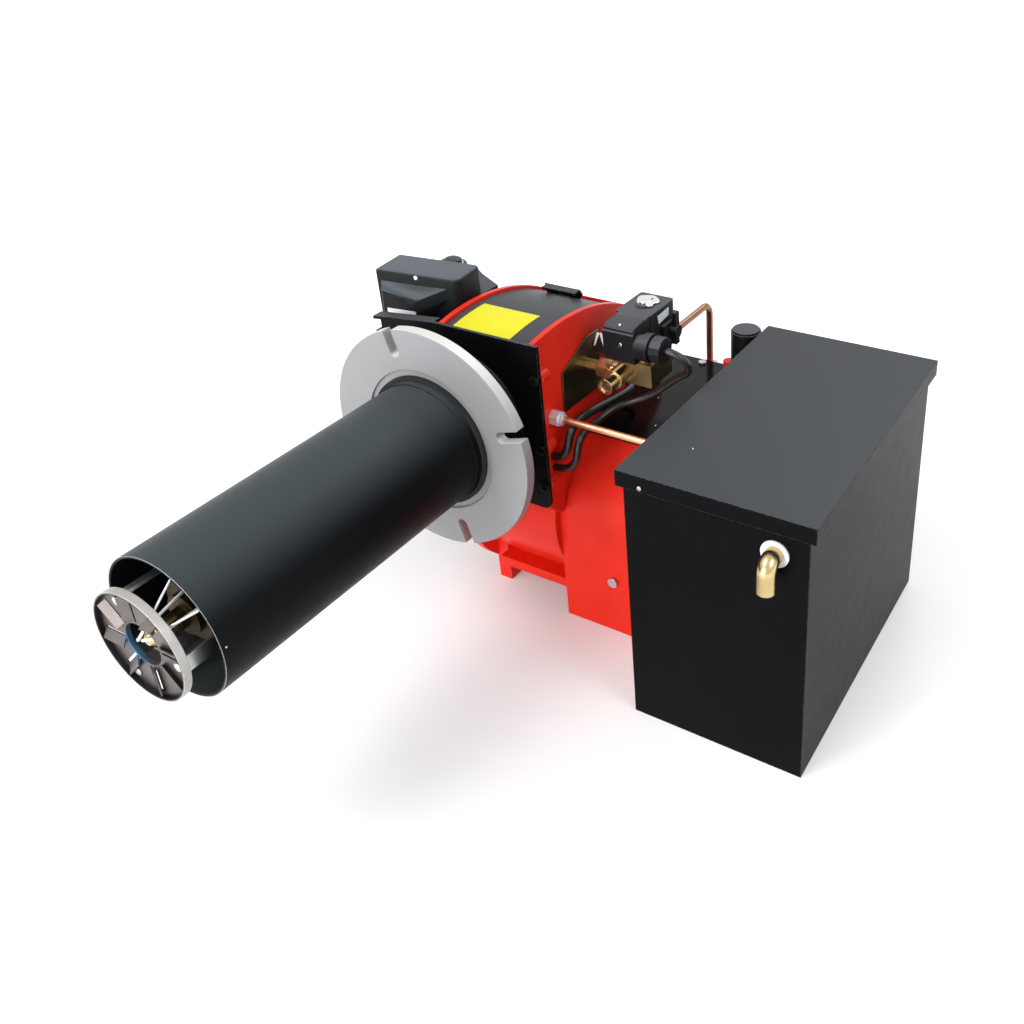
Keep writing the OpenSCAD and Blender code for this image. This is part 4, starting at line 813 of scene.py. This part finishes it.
# How far each ring of the case is drawn in, and its height.
CASE_RINGS = [
    (0.8, 54), (0.2, 54.6), (0.0, 60), (0.0, 107.6), (0.25, 109.2), (0.9, 110.3), (1.9, 110.9), (3.4, 111),
]
TAB_LEFTS = (-37.75, 28.75)
TAB_FRONT = 19
TAB_WIDTH, TAB_REACH = 9, 5
TAB_HEIGHTS = (54, 57)


def at_transformer(x, y, z):
    """A point given in the transformer's own directions."""
    return TRAFO_CENTRE + TRAFO_TURN @ Vector((x, y, z))


def case_ring(inset, z):
    """The plan of the case at one height, drawn in by an inset."""
    x, y = TRAFO_HALF[0] - inset, TRAFO_HALF[1] - inset
    radii = [max(SMALLEST_CORNER, corner - inset) for corner in CASE_CORNERS]
    outline = rounded_outline([(-x, -y), (x, -y), (x, y), (-x, y)], radii)
    return [at_transformer(u, v, z) for u, v in outline]


def case_tab(left):
    """A foot at the back of the case, from its left side."""
    right, back = left + TAB_WIDTH, TAB_FRONT + TAB_REACH
    plan = ((left, TAB_FRONT), (right, TAB_FRONT), (right, back), (left, back))
    return loft([[at_transformer(x, y, z) for x, y in plan] for z in TAB_HEIGHTS])


case_skin = loft([case_ring(inset, z) for inset, z in CASE_RINGS])
case_tabs = [case_tab(left) for left in TAB_LEFTS]
transformer_case = new_piece("transformer_case", *together(case_skin, *case_tabs), "grey_plastic",
                             slot="grey_plastic")
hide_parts("ignition_transformer")
print("transformer case:", len(transformer_case.data.polygons), "faces")

# %% [markdown]
# On its front the transformer has a hood over the terminals: a shallow box whose top is
# scooped, with a rim that runs down from the left to a corner and up again to the
# right. It is lofted from the wall outwards. Each ring is a mix of the outline at the
# wall and the outline at the face, and the top edge sags in between for the scoop.

# %% Transformer hood
HOOD_WALL = [(-42, 54.5), (-40.5, 100.4), (34.0, 101.3), (36.1, 91.5), (17, 72.5), (14, 54.5)]
HOOD_FACE = [(-36, 55.5), (-33.4, 95.4), (4.4, 88.8), (5.6, 78.5), (3.8, 70), (3.4, 55.5)]
HOOD_OUT = (0.0, 0.25, 0.5, 0.75, 0.92, 1.0)
HOOD_DEPTH = 10
HOOD_SUNK = 0.5
# How deep the scoop is, how early it ends at the face, and how square its curve is.
SCOOP, SCOOP_END, SCOOP_POWER = 3.2, 1.05, 0.6
HOOD_MIDDLE = Vector((-12, 78))
FACE_SHRINK = 0.9
SIDE_POINTS = 12
TOP_SIDE = 1


def hood_ring(share):
    """The outline of the hood at a share of its depth, with the scoop in its top edge."""
    ring = []
    corners = [Vector(a).lerp(Vector(b), share) for a, b in zip(HOOD_WALL, HOOD_FACE)]
    shrink = FACE_SHRINK if share == 1.0 else 0.0
    sag = SCOOP * math.sin(math.pi * min(1, share * SCOOP_END))
    y = TRAFO_FRONT + HOOD_SUNK - share * (HOOD_DEPTH + HOOD_SUNK)
    for side, (a, b) in enumerate(zip(corners, corners[1:] + corners[:1])):
        for step in range(SIDE_POINTS):
            t = step / SIDE_POINTS
            point = a.lerp(b, t)
            if side == TOP_SIDE:
                point.y -= sag * math.sin(math.pi * t) ** SCOOP_POWER
            point += (HOOD_MIDDLE - point).normalized() * shrink
            ring.append(at_transformer(point.x, y, point.y))
    return ring


hood = new_piece("transformer_hood", *loft([hood_ring(share) for share in HOOD_OUT]), "grey_plastic",
                 slot="grey_plastic")
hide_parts("ignition_transformer")
print("hood:", len(hood.data.polygons), "faces")

# %% [markdown]
# A small white plug closes a screw hole near the top of the case. It is round, so it is
# turned: the lathe carries a closed profile of radii and heights about an axis.

# %% Transformer plug
PLUG_PLACE = at_transformer(-0.1, TRAFO_FRONT, 107.4)


def turned_to(axis):
    """The matrix that turns +Z to an axis."""
    return Vector(UP).rotation_difference(Vector(axis)).to_matrix()


def lathe(profile, centre, axis, steps):
    """A closed (radius, height) profile turned about an axis through a centre."""
    turn = turned_to(axis)
    rings = []
    for step in range(steps):
        angle = 2 * math.pi * step / steps
        reach = Vector((math.cos(angle), math.sin(angle), 0))
        rings.append([Vector(centre) + turn @ (reach * r + Vector((0, 0, h))) for r, h in profile])
    return skin(rings, closed=True)


plug_profile = [(0.01, -0.5), (2.1, -0.5), (2.1, 0.3), (1.5, 0.8), (0.01, 1.0)]
plug_axis = TRAFO_TURN @ Vector(TO_FRONT)
new_piece("transformer_plug", *lathe(plug_profile, PLUG_PLACE, plug_axis, 24), "washer_white",
          slot="washer_white")
print("plug at", tuple(round(v, 1) for v in PLUG_PLACE))

# %% [markdown]
# A bare white label lies on the hood, and a smaller one on the coil's right side. A label
# is a thin plate with round corners: lofting the same outline twice gives it a real edge.

# %% Labels
COIL_SIDE = 153


def flat_label(name, corners, thick, place, radius):
    """A thin plate with rounded corners; place turns (u, v, height) into a point."""
    outline = rounded_outline(corners, [radius] * 4, 4)
    rings = [[place(u, v, height) for u, v in outline] for height in (0, thick)]
    return new_piece(name, *loft(rings), "label_white")


transformer_label = flat_label(
    "transformer_label", [(-29.6, 77.7), (2.1, 77.8), (2.4, 65.4), (-30.6, 65.5)], 0.25,
    lambda u, v, height: at_transformer(u, TRAFO_FRONT - HOOD_DEPTH - height, v), 1.0,
)
coil_label = flat_label(
    "coil_label", [(140.6, 92.1), (160.5, 93.0), (160.0, 85.5), (142.3, 83.6)], 0.2,
    lambda u, v, height: Vector((COIL_SIDE + height, u, v)), 0.6,
)
print("labels:", transformer_label.name, coil_label.name)

# %% [markdown]
# The yellow label follows the curve of the black cover. Its grid of points is bent
# over the cover's own cylinder, a fraction of a millimetre proud, with its sides
# folded down to the cover so that it reads as a thin sheet. It stays bare.

# %% Cover label
COVER_Y, COVER_Z = 95, -137.0
COVER_RADIUS = 225
LABEL_X = (-8, 54.5)
LABEL_Y = (54.5, 103)
LABEL_PROUD = (0.3, 0.02)
LABEL_ROWS = 16


def on_cover(x, y, proud):
    """A point over the cover, proud of its surface."""
    radius = COVER_RADIUS + proud
    return (x, y, COVER_Z + math.sqrt(radius ** 2 - (y - COVER_Y) ** 2))


def label_rows(proud):
    """Pairs of points across the label, row by row over the curve."""
    low, high = LABEL_Y
    steps = [low + (high - low) * row / LABEL_ROWS for row in range(LABEL_ROWS + 1)]
    return [[on_cover(x, y, proud) for x in LABEL_X] for y in steps]


top_rows, low_rows = (label_rows(proud) for proud in LABEL_PROUD)
label_rings = [[*top, *reversed(low)] for top, low in zip(top_rows, low_rows)]
cover_label = new_piece("cover_label", *loft(label_rings), "label_yellow")
print("cover label:", len(cover_label.data.polygons), "faces")

# %% [markdown]
# The reset button stands in a bezel: a black moulded ring with a polished ring inside
# it. Both are turned profiles, so one closed outline and the lathe make each of them.

# %% Button bezel
BUTTON = (-84, 151.1)
BOX_TOP = 92
BEZEL_RINGS = {
    "bezel_outer": ("black_plastic", [
        (14, 0), (14, 3.6), (12.8, 5.4), (11.2, 5.6), (10.9, 5.2), (10.9, 0),
    ]),
    "bezel_inner": ("chrome", [
        (10.85, 0), (10.85, 5.4), (10.2, 6.0), (9.5, 5.8), (9.1, 5.0), (9.1, 0),
    ]),
}
for name, (finish, profile) in BEZEL_RINGS.items():
    ring = new_piece(name, *lathe(profile, (*BUTTON, BOX_TOP), UP, 56), finish, slot=finish)
    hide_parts("button_bezel")
print("bezel rings:", list(BEZEL_RINGS))

# %% [markdown]
# Two small screws hold the valve's plug and the skirt of the tank's lid. Each is a pan
# head with a cross cut into it. The head is a turned profile; the cross is two thin dark
# bars let into its top, which is all that shows of a recess at this size.

# %% Small screws
SMALL_SCREWS = {"plug_screw": (132, 111.4, 73), "skirt_screw": (216.5, -3.6, 19.2)}
HEAD_RADIUS, HEAD_HEIGHT = 2.0, 0.9
HEAD_PROFILE = [
    (0.01, -0.4), (HEAD_RADIUS, -0.4), (HEAD_RADIUS, HEAD_HEIGHT * 0.35),
    (HEAD_RADIUS * 0.86, HEAD_HEIGHT * 0.8), (HEAD_RADIUS * 0.55, HEAD_HEIGHT), (0.01, HEAD_HEIGHT),
]
BAR_SHARES = ((0.6, 0.14), (0.14, 0.6))
BAR_HEIGHTS = (HEAD_HEIGHT - 0.5, HEAD_HEIGHT + 0.05)


def cross_bars(centre):
    """Two thin bars across the top of a screw head that faces the front."""
    turn = turned_to(TO_FRONT)
    parts = []
    for along, across in BAR_SHARES:
        rings = []
        for z in BAR_HEIGHTS:
            rings.append([
                Vector(centre) + turn @ Vector((u * along * HEAD_RADIUS, v * across * HEAD_RADIUS, z))
                for u, v in SQUARE
            ])
        parts.append(loft(rings))
    return together(*parts)


for name, centre in SMALL_SCREWS.items():
    new_piece(name, *lathe(HEAD_PROFILE, centre, TO_FRONT, 24), "steel", slot="steel")
    new_piece(name + "_cross", *cross_bars(centre), "dark_steel", slot="dark_steel")
print("small screws:", list(SMALL_SCREWS))

# %% [markdown]
# The coil is held by a bright spring clip on its top, a stamped plate with a wavy
# outline. A closed smooth curve through a few points gives the outline, and lofting it
# up and a little inwards gives the rolled edge of a stamping.

# %% Spring clip
CLIP_POINTS = [
    (126.8, 149.8), (124.6, 158.1), (129.1, 162.6), (136.4, 164.7), (144, 159.8), (146.8, 154.6),
    (144.4, 150.7), (144.9, 144.9), (140.9, 143.6), (133.6, 146.6), (131.1, 144.8),
]
COIL_TOP = 98.0
# How far each ring of the clip is drawn in, as a share, and its height.
CLIP_RINGS = ((0.0, 0.0), (0.0, 0.7), (0.035, 1.05), (0.10, 1.2))


def closed_curve(points, steps=5):
    """A smooth closed curve through points in a plane."""
    route = [Vector(p) for p in points]
    return spline_points([route[-1], *route, *route[:2]], steps)


clip_outline = closed_curve(CLIP_POINTS)
clip_middle = sum(clip_outline, Vector((0, 0))) / len(clip_outline)
clip_rings = [
    [(*point.lerp(clip_middle, inset), COIL_TOP + height) for point in clip_outline]
    for inset, height in CLIP_RINGS
]
clip_plate = new_piece("clip_plate", *loft(clip_rings), "chrome", slot="chrome")
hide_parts("coil_clip")
print("clip:", len(clip_plate.data.polygons), "faces")

# %% [markdown]
# A bright cap closes the clip over the end of the valve's stud, a thin dark ring lies
# under it on the coil, and the plate has two dark holes. All of them are turned.

# %% Cap, ring and holes of the clip
CLIP_CENTRE = (136, 148, COIL_TOP)
CLIP_HOLES = ((131.3, 152.6, COIL_TOP), (138.4, 157.2, COIL_TOP))
cap_profile = [(0.01, 0.4), (4.8, 0.4), (4.8, 2.4), (4.1, 3.3), (0.01, 3.5)]
ring_profile = [(0.01, 0.02), (8.2, 0.02), (8.2, 0.3), (0.01, 0.3)]
hole_profile = [(0.01, 1.0), (1.5, 1.0), (1.3, 1.28), (0.01, 1.28)]
clip_cap = new_piece("clip_cap", *lathe(cap_profile, CLIP_CENTRE, UP, 32), "chrome", slot="chrome")
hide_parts("coil_clip")
new_piece("coil_ring", *lathe(ring_profile, CLIP_CENTRE, UP, 36), "black_plastic", slot="black_plastic")
clip_holes = together(*(lathe(hole_profile, hole, UP, 20) for hole in CLIP_HOLES))
new_piece("clip_holes", *clip_holes, "black_plastic", slot="black_plastic")
print("clip parts at", CLIP_CENTRE, "holes:", len(CLIP_HOLES))

# %% [markdown]
# Next to the plug a dark socket shows two bright contact blades. The socket is one
# lofted block with a slanted top, and each blade is a thin tapered bar on its front.

# %% Socket and blades
SOCKET_FRONT, SOCKET_BACK = 116.5, 125.5
SOCKET_OUTLINE = [(98.5, 58), (114.7, 55.5), (114.7, 79), (110, 78), (98.5, 66)]
BLADE_Y = SOCKET_FRONT + 0.2
BLADE_THICK = 0.8
# The two ends of each blade and its width.
BLADES = [
    ((106.4, BLADE_Y, 76.5), (101.4, BLADE_Y, 63.5), 2.4),
    ((109.0, BLADE_Y, 77.2), (112.4, BLADE_Y, 61.5), 2.8),
]


def blade(start, end, width):
    """A flat bar from one point to another, half as wide at its end."""
    first, last = Vector(start), Vector(end)
    along = (last - first).normalized()
    across = along.cross(Vector((0, 1, 0)))
    rings = []
    for point, size in ((first, 1.0), (last, 0.5)):
        rings.append([
            point + across * (a * width * size / 2) + Vector((0, b * BLADE_THICK, 0))
            for a, b in ((-1, -1), (1, -1), (1, 0), (-1, 0))
        ])
    return loft(rings)


socket_plan = rounded_outline(SOCKET_OUTLINE, [1.2] * 5, 3)
socket_rings = [[(x, y, z) for x, z in socket_plan] for y in (SOCKET_FRONT, SOCKET_BACK)]
new_piece("plug_socket", *loft(socket_rings), "black_plastic", slot="black_plastic")
new_piece("contact_blades", *together(*(blade(*row) for row in BLADES)), "bright_zinc")
print("contact blades:", len(BLADES))

# %% [markdown]
# A sloping fairing joins the top of the coil to the plug, lofted from one to the other,
# and a pin sits in the plug's top, white all over as a painted glint. The open end of
# the tee has a copper hexagon, which is a lathe of six steps.

# %% Fairing, pin and hexagon
FAIRING_FOOT = 84
FAIRING_CORNERS = [0.5, 0.5, 1.0, 1.4]
# The place along Y of each ring of the fairing, and its left, right and top.
FAIRING_RINGS = [
    (132, 121, 152.4, 97.3), (119.6, 123, 152.4, 97.0),
    (113.2, 115.4, 145.8, 89.8), (111.1, 115.4, 145.8, 87.0),
]
PIN_PLACE, PIN_AXIS = (131, 114.0, 90.7), (0, -0.75, 0.66)
TEE_X, TEE_Z = 123.6, 34


def fairing_ring(y, left, right, top):
    """One rounded rectangle of the fairing, standing on its foot."""
    corners = [(left, FAIRING_FOOT), (right, FAIRING_FOOT), (right, top), (left, top)]
    return [(x, y, z) for x, z in rounded_outline(corners, FAIRING_CORNERS, 3)]


fairing = loft([fairing_ring(*row) for row in FAIRING_RINGS])
new_piece("plug_fairing", *fairing, "black_plastic", slot="black_plastic")
pin_profile = [(0.01, -0.5), (1.1, -0.5), (1.1, 0.4), (0.8, 0.75), (0.01, 0.8)]
# The pin's matte white is a painted glint.
new_piece("plug_pin_painted_glint", *lathe(pin_profile, PIN_PLACE, PIN_AXIS, 20), "washer_white", slot="washer_white")
tee_front = (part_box("brass_tee")[0] / MM).y
hexagon = [(0.01, -2), (5.2, -2), (5.2, -1.2), (3.4, -0.7), (3.2, -1.8), (0.01, -1.8)]
new_piece("tee_hexagon", *lathe(hexagon, (TEE_X, tee_front, TEE_Z), TO_FRONT, 6), "copper", slot="copper")
print("tee front at y", round(tee_front, 1))

# %% [markdown]
# The mouth of the blast tube is cut off bare, so its rim shows a thin line of bright
# metal. Small rivets hold the sheet parts: two in the casing's lid, one in the tank's
# lid and one on the tube near its mouth.

# %% Mouth rim and rivets
mouth_y = (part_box("blast_tube")[0] / MM).y
rim_profile = [(57.45, -0.6), (57.45, 0.1), (57.3, 0.2), (56.9, 0.2), (56.8, 0.1), (56.8, -0.6)]
new_piece("mouth_rim", *lathe(rim_profile, (0, mouth_y, 0), TO_FRONT, 96), "pump_iron")
# The place and the axis of each rivet.
RIVETS = [
    ((117.9, 195.9, -26), UP), ((141.7, 148.9, -26), UP), ((234.7, 50.9, 30), UP),
    ((57.3, -266.5, 4.6), (57.3, 0, 4.6)),
]
rivet_profile = [(0.01, -0.4), (0.8, -0.4), (0.75, 0.15), (0.45, 0.35), (0.01, 0.4)]
rivets = together(*(lathe(rivet_profile, place, Vector(axis).normalized(), 16) for place, axis in RIVETS))
new_piece("small_rivets", *rivets, "bright_zinc")
print("rivets:", len(RIVETS), "mouth at y", round(mouth_y, 1))

# %% [markdown]
# The last cell prints the box of the CAD model, in metres.

# %% Print the box of the CAD model
print("CAD box", [round(v, 4) for v in (*CAD_LOW, *CAD_HIGH)])
